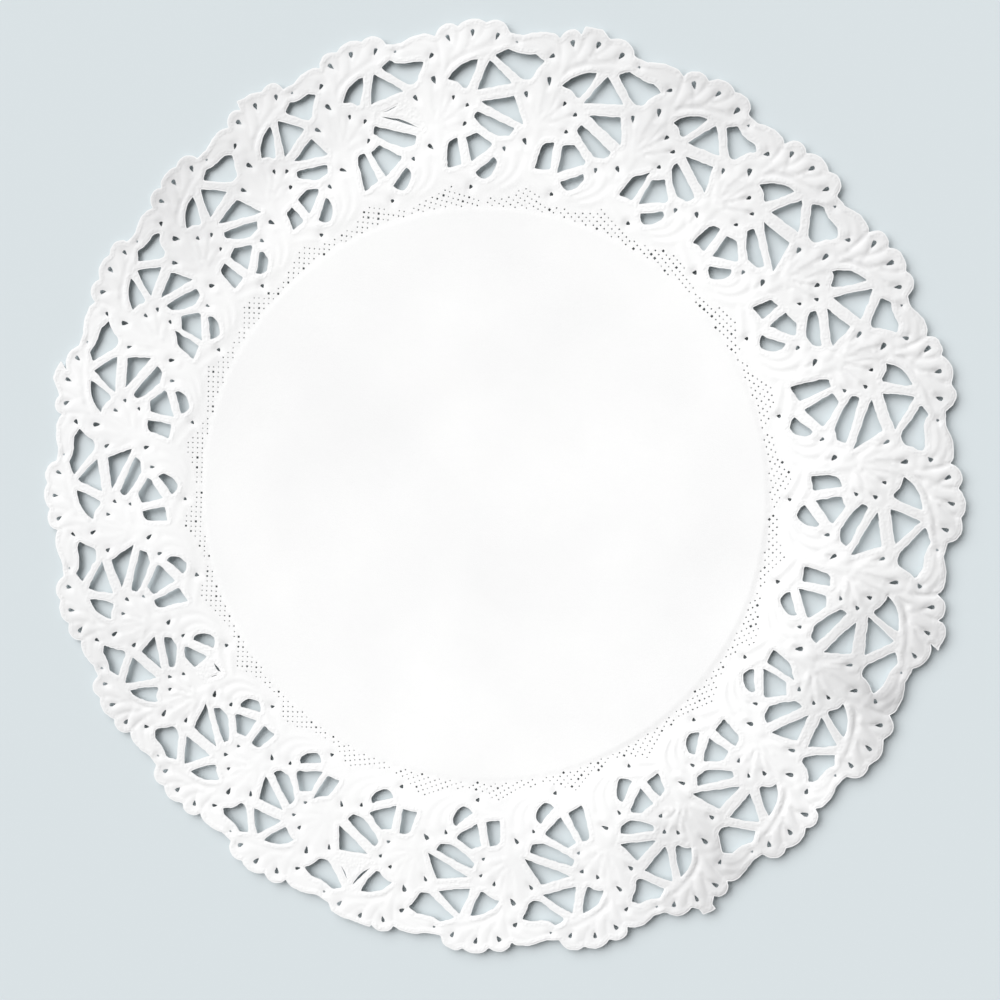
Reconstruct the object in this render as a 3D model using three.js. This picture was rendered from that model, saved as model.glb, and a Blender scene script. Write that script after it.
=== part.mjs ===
// A round paper lace doily, lying flat on its plain side: one sheet, embossed and cut in one stroke.
// Sizes are in millimetres. Angles are in degrees, clockwise from +Y as seen from above.
// The origin is the middle of the underside, and +Z points up, out of the embossed side.
import * as THREE from 'three';
import { mergeVertices } from 'three/addons/utils/BufferGeometryUtils.js';

// The sheet and its ring of lace
const SHEET_THICKNESS = 1.0;
const PLAIN_CENTRE_RADIUS = 78.3;
const REPEATS = 24;
const REPEAT_DEG = 360 / REPEATS;
const QUADRANT_REPEATS = 6;

// Outlines: bows deeper than these take that many straight steps
const ARC_STEPS = [
  { bow: 1.4, steps: 4 },
  { bow: 0.6, steps: 3 },
  { bow: 0.15, steps: 2 },
];

// Limits of the pass that evens out the triangles
const MOST_PASSES = 60;
const EVEN_ENOUGH = 1e-9;

// Rows of the tables below. A row's bow is how far the edge from it to the next row bulges outwards.
const at = (deg, mm, bow = 0) => ({ deg, mm, bow });
const crown = (deg, mm, up) => ({ deg, mm, up });
const drift = (turn, lift) => ({ turn, lift });
const stray = (repeat, corner, turn, lift) => ({ repeat, corner, turn, lift });

// The paper's edge over one repeat: a shell of three lobes, then a wavy ribbon up to the next shell
const RIM = [
  at(8.15, 123.0, 1.9), at(10.92, 124.9, 1.5), at(14.35, 125.6, 1.9),
  at(17.2, 123.0), at(18.9, 122.7), at(20.9, 124.0), at(22.3, 123.9),
];

// Shells left ragged where the sheet tore from its waste: these rows stand in for the rim's rows
// from row 1 up to the row named last.
const TORN_SHELLS = {
  0: { last: 2, rows: [at(10.45, 124.7), at(10.6, 126.9), at(12.8, 127.2), at(13.6, 125.8), at(13.9, 125.3, 1.8)] },
  6: { last: 2, rows: [at(10.92, 124.9, 0.9), at(12.4, 127.7), at(14.3, 127.2), at(13.7, 124.8, 1.7)] },
  9: {
    last: 2,
    rows: [at(10.6, 124.6), at(11.2, 126.1), at(11.15, 127.9), at(12.9, 127.8), at(13.0, 126.2), at(13.75, 124.7, 1.7)],
  },
  12: { last: 3, rows: [at(10.9, 124.8), at(11.1, 125.5), at(15.0, 125.6), at(16.5, 124.9), at(17.0, 123.1)] },
  18: { last: 2, rows: [at(10.3, 124.7), at(12.4, 128.0), at(14.75, 126.8), at(13.75, 124.2, 1.7)] },
  21: {
    last: 2,
    rows: [at(10.75, 124.7), at(10.9, 127.4), at(11.4, 127.0), at(12.4, 126.9), at(12.9, 126.8), at(14.35, 125.5, 1.9)],
  },
};

// The eight gaps of one repeat, each a ring of corners
const GAPS = {
  underShell: [at(9.7, 111.0, 1.2), at(13.5, 116.5, 0.3), at(11.95, 108.4), at(11.6, 108.5, -0.7)],
  underRibbon: [
    at(15.95, 117.3), at(17.2, 119.0), at(18.0, 118.3), at(20.4, 118.3), at(21.35, 116.8),
    at(21.1, 115.4, -0.3), at(20.1, 111.5), at(19.0, 111.5), at(18.3, 112.6),
  ],
  upperTriangle: [at(14.9, 116.4, 0.2), at(17.9, 109.9), at(13.5, 108.1, 0.3)],
  lowerTriangle: [at(13.65, 105.7), at(17.95, 107.5), at(19.45, 100.8)],
  slit: [at(13.6, 102.7), at(18.65, 98.4), at(18.0, 96.4), at(16.35, 96.1), at(13.3, 100.7)],
  postWindow: [at(11.3, 96.3), at(13.0, 97.4), at(15.6, 94.5, 0.2), at(15.3, 93.0), at(11.9, 89.6)],
  arch: [at(7.8, 89.0), at(10.5, 89.2), at(9.95, 96.8), at(9.0, 96.5, 0.3), at(8.2, 94.5)],
  crescent: [at(12.6, 87.4), at(15.8, 91.2, 0.3), at(16.35, 89.4, 0.8), at(14.3, 85.3, 0.5)],
};

// Gaps whose paper was never punched out: it stays in place, parted by fine slits only
const UNPUNCHED = [
  { repeat: 12, gap: 'upperTriangle' },
  { repeat: 15, gap: 'arch' },
  { repeat: 22, gap: 'lowerTriangle' },
];

// The four quadrants are alike, but the six repeats of a quadrant were drawn by hand. Each ring
// says how far its six repeats drift from the plain repeat, counted from the ring's first angle.
const DRIFT_RINGS = [
  { mm: 84.9, first: 11.7, drifts: Array(QUADRANT_REPEATS).fill(drift(0, 0)) },
  {
    mm: 94.2, first: 3.9,
    drifts: [drift(0, 0.7), drift(0.6, -0.5), drift(0.1, -0.4), drift(-0.1, -0.6), drift(-0.3, 1.0), drift(-0.3, -0.1)],
  },
  {
    mm: 106.2, first: 9.0,
    drifts: [drift(0.5, -0.1), drift(0.7, 0.2), drift(-0.1, -0.6), drift(0.4, -1.7), drift(-1.0, 1.8), drift(-0.6, 0.3)],
  },
  {
    mm: 121.8, first: 12.7,
    drifts: [drift(0.2, -0.1), drift(1.0, -0.5), drift(0.4, -1.1), drift(0, 0.2), drift(-1.1, 1.0), drift(-0.5, 0.4)],
  },
];

// Single corners that stray further than the rings say
const STRAYS = {
  underShell: [
    stray(0, 0, -0.5, 0), stray(3, 0, -0.2, 0.4), stray(3, 1, -0.3, 0.3), stray(3, 2, -0.5, 0.3),
    stray(3, 3, -0.5, 0.4), stray(5, 0, -0.4, 0.5),
  ],
  underRibbon: [
    stray(0, 4, 0.4, 0), stray(1, 5, -0.6, 0), stray(1, 6, -0.4, 0), stray(3, 5, -0.3, 0),
    stray(3, 6, -0.5, 0.6), stray(4, 2, 0, -0.8), stray(4, 3, 0, -0.8), stray(5, 0, -0.5, 0), stray(5, 4, 0.3, 0),
  ],
  upperTriangle: [
    stray(0, 2, -0.8, -0.4), stray(1, 2, -0.4, -0.1), stray(3, 0, -0.4, 0.6), stray(3, 2, -0.6, -0.4),
    stray(4, 1, 0.5, -0.3),
  ],
  lowerTriangle: [stray(2, 2, 0.6, -1.4), stray(4, 2, 0.3, -0.8), stray(5, 2, 0.4, -1.1)],
  slit: [
    stray(0, 0, -0.4, 0.1), stray(0, 4, -0.4, 0), stray(1, 0, -0.2, 0.5), stray(4, 0, -0.5, 0.3),
    stray(4, 4, -0.8, 0.5), stray(5, 0, -0.3, 0.3), stray(5, 4, -0.5, 0.5),
  ],
  postWindow: [
    stray(0, 4, -0.3, -0.8), stray(1, 1, 0.2, 0.8), stray(1, 4, -0.4, -0.7), stray(3, 0, 0.1, -1.1),
    stray(3, 1, 0.8, -1.3), stray(4, 0, -0.4, 0.8), stray(4, 1, -0.4, 1.0),
  ],
  arch: [
    stray(1, 2, 0.5, 1.4), stray(1, 3, 0.4, 0), stray(3, 2, 0, -1.6), stray(3, 3, 0, -1.9), stray(3, 4, 0.3, -1.1),
    stray(4, 0, -0.2, -1.1), stray(4, 1, 0.1, 0), stray(4, 2, 0, 0.8), stray(4, 3, -0.1, 1.1),
  ],
  crescent: [],
};

// Where one repeat meets the next, in solid paper from the rim to the plain centre
const SEAM = [
  crown(8.3, 118.5, 0.1), crown(8.6, 112.0, 0.15), crown(7.3, 105.5, 0.35), crown(7.0, 99.0, 0.4),
  crown(6.9, 92.5, 0.25), crown(6.8, 84.5, 0.2), crown(6.8, PLAIN_CENTRE_RADIUS, 0),
];
const HALF_REPEAT_DEG = REPEAT_DEG / 2;

// The embossing of one repeat: tops and hollows, each at its height over the flat ground
const CROWNS = [
  // Shell: three pillowed lobes, the hollows between them, a groove, and a raised band at its foot
  crown(9.65, 121.8, 0.5), crown(11.2, 121.2, 0.1), crown(12.7, 122.8, 0.5), crown(14.2, 121.6, 0.1),
  crown(15.75, 121.8, 0.5), crown(10.9, 118.0, 0.1), crown(13.6, 119.6, 0.1), crown(9.7, 113.4, 0.4),
  crown(11.2, 116.2, 0.4), crown(14.0, 117.8, 0.4),
  // Ribbon
  crown(18.3, 120.6, 0.35), crown(20.6, 121.1, 0.4), crown(22.4, 119.2, 0.35),
  // Leaf: two big lobes on its left, three small ones on its right, hollows between
  crown(22.4, 112.4, 0.5), crown(19.7, 108.4, 0.5), crown(21.0, 107.2, 0.1), crown(20.9, 101.5, 0.35),
  crown(9.9, 107.2, 0.45), crown(10.6, 104.9, 0.1), crown(11.8, 104.8, 0.4), crown(11.6, 102.2, 0.1),
  crown(11.2, 99.8, 0.4), crown(9.2, 102.0, 0.35),
  // Scroll below the leaf
  crown(20.5, 95.3, 0.5), crown(19.0, 92.2, 0.1), crown(17.3, 93.0, 0.45), crown(18.4, 88.4, 0.35),
  crown(20.6, 87.8, 0.3),
  // Scallop around the net
  crown(9.2, 85.6, 0.3), crown(11.7, 84.2, 0.3), crown(14.4, 82.8, 0.3), crown(17.2, 83.2, 0.25),
];

// The drift of one ring at an angle: smooth from each repeat to the next, and the same every quadrant
function ringDrift(ring, deg) {
  const turns = (deg - ring.first) / REPEAT_DEG;
  const before = Math.floor(turns);
  const share = THREE.MathUtils.smoothstep(turns - before, 0, 1);
  const pick = (index) => ring.drifts[THREE.MathUtils.euclideanModulo(index, QUADRANT_REPEATS)];
  return drift(
    THREE.MathUtils.lerp(pick(before).turn, pick(before + 1).turn, share),
    THREE.MathUtils.lerp(pick(before).lift, pick(before + 1).lift, share),
  );
}

// The drift at any place, between the two rings around it
function placeDrift(deg, mm) {
  const radii = DRIFT_RINGS.map((ring) => ring.mm);
  const held = THREE.MathUtils.clamp(mm, radii[0], radii[radii.length - 1]);
  const outer = Math.max(1, radii.findIndex((radius) => radius >= held));
  const share = (held - radii[outer - 1]) / (radii[outer] - radii[outer - 1]);
  const low = ringDrift(DRIFT_RINGS[outer - 1], deg);
  const high = ringDrift(DRIFT_RINGS[outer], deg);
  return drift(THREE.MathUtils.lerp(low.turn, high.turn, share), THREE.MathUtils.lerp(low.lift, high.lift, share));
}

// A place of the plain repeat, carried to its repeat and drifted, as a point of the sheet
function place(row, repeat) {
  const deg = (row.deg + repeat * REPEAT_DEG) % 360;
  const { turn, lift } = placeDrift(deg, row.mm);
  const angle = THREE.MathUtils.degToRad(deg + turn);
  const radius = row.mm + lift;
  return new THREE.Vector2(radius * Math.sin(angle), radius * Math.cos(angle));
}

// Points from one corner up to the next, on an arc that bulges by bow towards outward
function bowedEdge(from, to, bow, outward) {
  const step = ARC_STEPS.find((row) => Math.abs(bow) > row.bow);
  if (!step) {
    return [from];
  }
  const half = from.distanceTo(to) / 2;
  const along = to.clone().sub(from).normalize();
  const across = new THREE.Vector2(along.y, -along.x);
  across.multiplyScalar(Math.sign(across.dot(outward)) * Math.sign(bow));
  const depth = Math.abs(bow);
  const radius = (half * half + depth * depth) / (2 * depth);
  const spread = Math.asin(half / radius);
  const middle = from.clone().add(to).multiplyScalar(0.5).addScaledVector(across, depth - radius);
  return Array.from({ length: step.steps }, (_, index) => {
    const angle = spread * ((2 * index) / step.steps - 1);
    return middle.clone()
      .addScaledVector(along, radius * Math.sin(angle))
      .addScaledVector(across, radius * Math.cos(angle));
  });
}

// The rim of one repeat, from its own seam up to the next one
function rimPoints(repeat) {
  const torn = TORN_SHELLS[repeat];
  const rows = torn ? [RIM[0], ...torn.rows, ...RIM.slice(torn.last + 1)] : RIM;
  const corners = rows.map((row) => place(row, repeat));
  corners.push(place(RIM[0], repeat + 1));
  return rows.flatMap((row, index) => {
    const [from, to] = [corners[index], corners[index + 1]];
    return bowedEdge(from, to, row.bow, from.clone().add(to));
  });
}

// The outline of one gap
function gapPoints(name, repeat) {
  const strays = STRAYS[name].filter((row) => row.repeat === repeat % QUADRANT_REPEATS);
  const corners = GAPS[name].map((row, index) => {
    const own = strays.find((candidate) => candidate.corner === index) ?? drift(0, 0);
    return place({ deg: row.deg + own.turn, mm: row.mm + own.lift }, repeat);
  });
  const middle = corners.reduce((sum, corner) => sum.add(corner), new THREE.Vector2()).divideScalar(corners.length);
  return corners.flatMap((from, index) => {
    const to = corners[(index + 1) % corners.length];
    const outward = from.clone().add(to).multiplyScalar(0.5).sub(middle);
    return bowedEdge(from, to, GAPS[name][index].bow, outward);
  });
}

const openGaps = (repeat) => Object.keys(GAPS)
  .filter((gap) => !UNPUNCHED.some((row) => row.repeat === repeat && row.gap === gap))
  .map((gap) => gapPoints(gap, repeat));

// A point of the sheet at its height over the flat ground
const raised = (row, repeat) => ({ point: place(row, repeat), up: row.up });
const level = (point) => ({ point, up: 0 });

const signedArea = (a, b, c) => (b.x - a.x) * (c.y - a.y) - (c.x - a.x) * (b.y - a.y);

// More than nothing where d lies inside the circle through the anticlockwise triangle a, b, c
function insideCircle(a, b, c, d) {
  const [p, q, r] = [a, b, c].map((corner) => {
    const x = corner.x - d.x;
    const y = corner.y - d.y;
    return { x, y, square: x * x + y * y };
  });
  return p.x * (q.y * r.square - r.y * q.square)
    - p.y * (q.x * r.square - r.x * q.square)
    + p.square * (q.x * r.y - r.x * q.y);
}

// Each inner side of the triangles, with the two triangles on it
function innerSides(faces) {
  const sides = new Map();
  faces.forEach((face, index) => face.forEach((start, corner) => {
    const end = face[(corner + 1) % 3];
    const key = start < end ? `${start}_${end}` : `${end}_${start}`;
    const across = face[(corner + 2) % 3];
    sides.set(key, [...(sides.get(key) ?? []), { index, start, end, across }]);
  }));
  return [...sides.values()].filter((pair) => pair.length === 2);
}

// Turns the side between two thin triangles wherever the other way makes them rounder, so that the
// ridges of the embossing run evenly. Outlines are on one triangle only and stay.
function evenOut(points, faces) {
  for (let pass = 0; pass < MOST_PASSES; pass += 1) {
    const touched = new Set();
    innerSides(faces).forEach(([one, two]) => {
      const [a, b, c, d] = [one.start, one.end, one.across, two.across].map((index) => points[index]);
      const free = !touched.has(one.index) && !touched.has(two.index);
      const convex = signedArea(d, b, c) > EVEN_ENOUGH && signedArea(a, d, c) > EVEN_ENOUGH;
      if (free && convex && insideCircle(a, b, c, d) > EVEN_ENOUGH) {
        faces[one.index] = [two.across, one.end, one.across];
        faces[two.index] = [one.start, two.across, one.across];
        touched.add(one.index).add(two.index);
      }
    });
    if (touched.size === 0) {
      return;
    }
  }
}

// Fills an outline with holes, through loose inner points, with anticlockwise triangles
function fill(outline, holes, loose) {
  const rings = [...holes, ...loose.map((entry) => [entry])];
  const flat = [outline, ...rings].flat();
  const points = flat.map((entry) => entry.point);
  const toPoints = (ring) => ring.map((entry) => entry.point);
  const faces = THREE.ShapeUtils.triangulateShape(toPoints(outline), rings.map(toPoints)).map(([a, b, c]) => (
    signedArea(points[a], points[b], points[c]) > 0 ? [a, b, c] : [a, c, b]
  ));
  evenOut(points, faces);
  return faces.map((face) => face.map((index) => flat[index]));
}

// The two sides and all edges of the sheet, as loose triangles
class Sheet {
  positions = [];

  addTop(triangle) {
    triangle.forEach(({ point, up }) => this.positions.push(point.x, point.y, SHEET_THICKNESS + up));
  }

  addUnderside(triangle) {
    [...triangle].reverse().forEach(({ point }) => this.positions.push(point.x, point.y, 0));
  }

  // A wall along one edge, with the paper on its left
  addWall(from, to) {
    const top = SHEET_THICKNESS;
    this.positions.push(
      from.x, from.y, 0, to.x, to.y, 0, to.x, to.y, top,
      from.x, from.y, 0, to.x, to.y, top, from.x, from.y, top,
    );
  }

  // Walls around a ring of points; paperInside says on which side of the ring the paper is
  addWalls(ring, paperInside) {
    const anticlockwise = !THREE.ShapeUtils.isClockWise(ring);
    ring.forEach((point, index) => {
      const next = ring[(index + 1) % ring.length];
      if (anticlockwise === paperInside) {
        this.addWall(point, next);
      } else {
        this.addWall(next, point);
      }
    });
  }

  geometry() {
    const loose = new THREE.BufferGeometry();
    loose.setAttribute('position', new THREE.Float32BufferAttribute(this.positions, 3));
    return mergeVertices(loose);
  }
}

// One repeat: rim, seam, inner edge and the next seam make its outline
function addRepeat(sheet, repeat) {
  const rim = rimPoints(repeat).map(level);
  const nextSeam = SEAM.map((row) => raised(row, repeat + 1));
  const innerMiddle = raised(crown(SEAM.at(-1).deg + HALF_REPEAT_DEG, PLAIN_CENTRE_RADIUS, 0), repeat);
  const ownSeam = SEAM.map((row) => raised(row, repeat)).reverse();
  const rimEnd = level(place(RIM[0], repeat + 1));
  const outline = [...rim, rimEnd, ...nextSeam, innerMiddle, ...ownSeam];
  const gaps = openGaps(repeat);
  const holes = gaps.map((gap) => gap.map(level));
  fill(outline, holes, CROWNS.map((row) => raised(row, repeat))).forEach((face) => sheet.addTop(face));
  fill(outline, holes, []).forEach((face) => sheet.addUnderside(face));
  gaps.forEach((gap) => sheet.addWalls(gap, false));
  return rim.map((entry) => entry.point);
}

// The plain round centre inside the lace
function addCentre(sheet) {
  const middle = level(new THREE.Vector2());
  const ring = Array.from({ length: REPEATS * 2 }, (_, index) => {
    const deg = SEAM.at(-1).deg + (index % 2) * HALF_REPEAT_DEG;
    return raised(crown(deg, PLAIN_CENTRE_RADIUS, 0), Math.floor(index / 2));
  });
  ring.forEach((entry, index) => {
    const triangle = [middle, ring[(index + 1) % ring.length], entry];
    sheet.addTop(triangle);
    sheet.addUnderside(triangle);
  });
}

function makeDoily() {
  const sheet = new Sheet();
  const rim = [];
  for (let repeat = 0; repeat < REPEATS; repeat += 1) {
    rim.push(...addRepeat(sheet, repeat));
  }
  sheet.addWalls(rim, true);
  addCentre(sheet);
  const paper = new THREE.MeshStandardMaterial({ color: 0xf7f6f3, roughness: 0.85, metalness: 0 });
  const mesh = new THREE.Mesh(sheet.geometry(), paper);
  mesh.name = 'doily';
  return mesh;
}

const doily = new THREE.Group();
doily.add(makeDoily());

export default doily;
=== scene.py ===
import logging
import math
from collections.abc import Callable
from dataclasses import dataclass, field
from enum import Enum

import bpy
import numpy as np
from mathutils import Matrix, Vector
from mathutils.bvhtree import BVHTree
from mathutils.geometry import delaunay_2d_cdt
from mathutils.kdtree import KDTree


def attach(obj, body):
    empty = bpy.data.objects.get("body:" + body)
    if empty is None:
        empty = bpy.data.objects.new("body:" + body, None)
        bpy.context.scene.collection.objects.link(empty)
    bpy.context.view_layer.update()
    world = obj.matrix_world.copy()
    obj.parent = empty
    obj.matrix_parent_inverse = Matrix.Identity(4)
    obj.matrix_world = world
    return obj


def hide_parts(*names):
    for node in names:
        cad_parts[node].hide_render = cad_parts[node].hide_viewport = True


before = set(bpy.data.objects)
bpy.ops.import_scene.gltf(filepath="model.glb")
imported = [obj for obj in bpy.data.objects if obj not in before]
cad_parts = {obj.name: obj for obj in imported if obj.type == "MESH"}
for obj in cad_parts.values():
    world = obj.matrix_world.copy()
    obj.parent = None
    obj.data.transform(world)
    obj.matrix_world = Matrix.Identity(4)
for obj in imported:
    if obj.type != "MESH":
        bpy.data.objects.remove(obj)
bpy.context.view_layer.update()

LOG = logging.getLogger("paper_doily")

Colour = tuple[float, float, float, float]
Side = tuple[np.ndarray, np.ndarray, np.ndarray]

# Lengths in the tables are millimetres and angles are degrees, clockwise from the far edge of the
# doily as seen from above. Meshes are in metres.
MM = 0.001
REPEATS = 24
REPEAT_DEG = 360 / REPEATS
QUADRANT_REPEATS = 6
FIRST_DEG = 8.15

# Corners of one repeat of the rim: degrees, millimetres from the middle, and how far the edge from
# there to the next corner bows outwards
RIM = (
    (8.15, 123.0, 1.9), (10.92, 124.9, 1.5), (14.35, 125.6, 1.9),
    (17.2, 123.0, 0), (18.9, 122.7, 0.15), (20.9, 124.0, 0.1), (22.3, 123.9, 0.1),
)

# Shells left ragged where the sheet tore from its waste: these corners stand in for the rim's
# corners from the second up to the one with the number given first.
TORN_SHELLS = {
    0: (2, ((10.45, 124.7, 0), (10.6, 126.9, 0), (12.8, 127.2, 0), (13.6, 125.8, 0), (13.9, 125.3, 1.8))),
    6: (2, ((10.92, 124.9, 0.9), (12.4, 127.7, 0), (14.3, 127.2, 0), (13.7, 124.8, 1.7))),
    9: (2, ((10.6, 124.6, 0), (11.2, 126.1, 0), (11.15, 127.9, 0), (12.9, 127.8, 0), (13.0, 126.2, 0),
            (13.75, 124.7, 1.7))),
    12: (3, ((10.9, 124.8, 0), (11.1, 125.5, 0), (15.0, 125.6, 0), (16.5, 124.9, 0), (17.0, 123.1, 0))),
    18: (2, ((10.3, 124.7, 0), (12.4, 128.0, 0), (14.75, 126.8, 0), (13.75, 124.2, 1.7))),
    21: (2, ((10.75, 124.7, 0), (10.9, 127.4, 0), (11.4, 127.0, 0), (12.4, 126.9, 0), (12.9, 126.8, 0),
             (14.35, 125.5, 1.9))),
}

# The eight gaps of one repeat, with the same three columns
GAPS = {
    "under_shell": ((9.7, 111.1, 1.2), (13.4, 116.3, 0.35), (11.85, 109.1, 0), (11.4, 109.2, -0.5)),
    "under_ribbon": (
        (15.95, 117.3, 0), (17.2, 119.0, 0), (18.0, 118.3, -0.2), (20.4, 118.15, 0), (21.35, 116.8, 0),
        (21.1, 115.4, -0.2), (20.3, 112.2, 0.2), (19.1, 111.6, 0.1), (18.3, 112.6, 0),
    ),
    "upper_triangle": ((14.85, 116.1, 0.15), (17.7, 110.4, 0), (13.35, 108.4, 0.2)),
    "lower_triangle": ((13.7, 105.4, 0), (18.05, 107.2, 0.1), (19.45, 100.8, 0.15)),
    "slit": (
        (13.45, 102.5, 0.15), (18.65, 98.4, 0.1), (18.0, 96.4, 0), (16.3, 96.1, 0.35), (13.1, 100.8, 0.15),
    ),
    "post_window": ((11.35, 96.2, 0), (12.95, 97.2, 0), (15.4, 94.2, 0.2), (15.1, 93.1, 0), (11.95, 89.9, 0)),
    "arch": ((7.8, 89.0, -0.1), (10.4, 89.3, 0), (9.95, 96.5, -0.1), (9.0, 96.1, 0.3), (8.2, 94.3, 0)),
    "crescent": ((12.65, 87.3, -0.15), (15.75, 91.0, 0.3), (16.3, 89.3, 0.65), (14.35, 85.5, 0.4)),
}

# Gaps whose paper was never punched out. It is parted by fine slits only: number of the outline's
# edge, start and end as shares of that edge, and the slit's width.
UNPUNCHED = {
    (12, "upper_triangle"): ((2, 0.12, 0.92, 0.75), (0, 0.25, 0.8, 0.3)),
    (15, "arch"): ((0, 0.1, 0.9, 0.6), (4, 0.1, 0.7, 0.3)),
    (22, "lower_triangle"): ((2, 0.08, 0.9, 0.6), (0, 0.2, 0.75, 0.25)),
}

# Single corners that stray further than the drift rings say: by repeat of the quadrant and corner,
# how far they turn in degrees and lift in millimetres
STRAYS = {
    "under_shell": {(0, 0): (-0.5, 0), (3, 0): (-0.2, 0.4), (3, 1): (-0.3, 0.3), (3, 2): (-0.5, 0.3),
                    (3, 3): (-0.5, 0.4), (5, 0): (-0.4, 0.5)},
    "under_ribbon": {(0, 4): (0.4, 0), (1, 5): (-0.6, 0), (1, 6): (-0.4, 0), (3, 5): (-0.3, 0),
                     (3, 6): (-0.5, 0.6), (4, 2): (0, -0.8), (4, 3): (0, -0.8), (5, 0): (-0.5, 0),
                     (5, 4): (0.3, 0)},
    "upper_triangle": {(0, 2): (-0.8, -0.4), (1, 2): (-0.4, -0.1), (3, 0): (-0.4, 0.6),
                       (3, 2): (-0.6, -0.4), (4, 1): (0.5, -0.3)},
    "lower_triangle": {(2, 2): (0.6, -1.4), (4, 2): (0.3, -0.8), (5, 2): (0.4, -1.1)},
    "slit": {(0, 0): (-0.4, 0.1), (0, 4): (-0.4, 0), (1, 0): (-0.2, 0.5), (4, 0): (-0.5, 0.3),
             (4, 4): (-0.8, 0.5), (5, 0): (-0.3, 0.3), (5, 4): (-0.5, 0.5)},
    "post_window": {(0, 4): (-0.3, -0.8), (1, 1): (0.2, 0.8), (1, 4): (-0.4, -0.7), (3, 0): (0.1, -1.1),
                    (3, 1): (0.8, -1.3), (4, 0): (-0.4, 0.8), (4, 1): (-0.4, 1.0)},
    "arch": {(1, 2): (0.5, 1.4), (1, 3): (0.4, 0), (3, 2): (0, -1.6), (3, 3): (0, -1.9),
             (3, 4): (0.3, -1.1), (4, 0): (-0.2, -1.1), (4, 1): (0.1, 0), (4, 2): (0, 0.8),
             (4, 3): (-0.1, 1.1)},
    "crescent": {},
}

# Pinholes of one repeat: place, how far its inner end leans anticlockwise off the line to the middle,
# length and width, then where the vein behind it comes from and how deep that is pressed
PINHOLES = (
    (9.65, 122.4, -30, 2.0, 1.1, 10.9, 117.6, 0.26), (12.69, 123.3, 10, 2.0, 1.1, 11.9, 118.2, 0.31),
    (15.75, 122.2, 22, 1.9, 1.1, 14.0, 119.2, 0.26), (9.97, 107.0, 12, 1.4, 0.95, 7.8, 101.6, 0.29),
    (11.82, 104.7, 42, 1.3, 1.0, 8.2, 100.9, 0.31), (11.24, 99.9, 48, 1.3, 0.9, 8.0, 99.3, 0.21),
    (19.6, 108.0, -30, 1.8, 1.0, 21.3, 101.0, 0.26), (22.43, 112.1, -22, 2.2, 1.15, 21.7, 101.5, 0.29),
    (18.1, 120.8, 70, 0.8, 0.65, 19.2, 121.1, 0.12), (22.45, 118.3, 50, 1.6, 1.05, 21.9, 120.0, 0.18),
    (17.34, 93.0, -14, 1.4, 0.9, 17.2, 90.0, 0.14), (20.5, 95.3, -36, 2.0, 1.05, 20.9, 90.8, 0.24),
    (11.75, 83.6, 30, 1.2, 1.05, 12.3, 82.6, 0.0),
)

# The outer bound of the punched net over one repeat
SCALLOP = (
    (7.6, 84.8), (8.6, 84.2), (9.6, 83.2), (10.6, 82.0), (11.8, 81.3), (13.0, 81.0), (14.5, 81.0),
    (16.0, 81.2), (18.0, 81.7), (19.5, 82.6), (21.0, 83.9), (22.6, 84.8),
)

# Which way the net's threads run in each field of the net, in degrees off the doily's own axes
NET_TURNS = (
    45, 48, 40, 31, 27, 42, 58, 60, 25, 35, 55, 66, 81, 88, 0, 0, 0, 0, 0, 0, 2, 5, 15, 30,
)


class Cut(Enum):
    """What an outline in the sheet is."""

    RIM = "rim"
    GAP = "gap"
    SLIT = "slit"
    PINHOLE = "pinhole"
    NET_HOLE = "net hole"


@dataclass(frozen=True)
class Outline:
    """A closed line in the sheet, with the paper on its left as it runs."""

    cut: Cut
    points: np.ndarray


@dataclass(frozen=True)
class DriftRing:
    """How far the six hand-drawn repeats of a quadrant stray at one distance from the middle."""

    mm: float
    first: float
    drifts: tuple[tuple[float, float], ...]


@dataclass(frozen=True)
class Stroke:
    """A cushion or a crease, pressed along a line of the plain repeat.

    Each row is degrees, millimetres from the middle and half the stroke's width there.
    """

    depth: float
    rows: tuple[tuple[float, float, float], ...]


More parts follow.
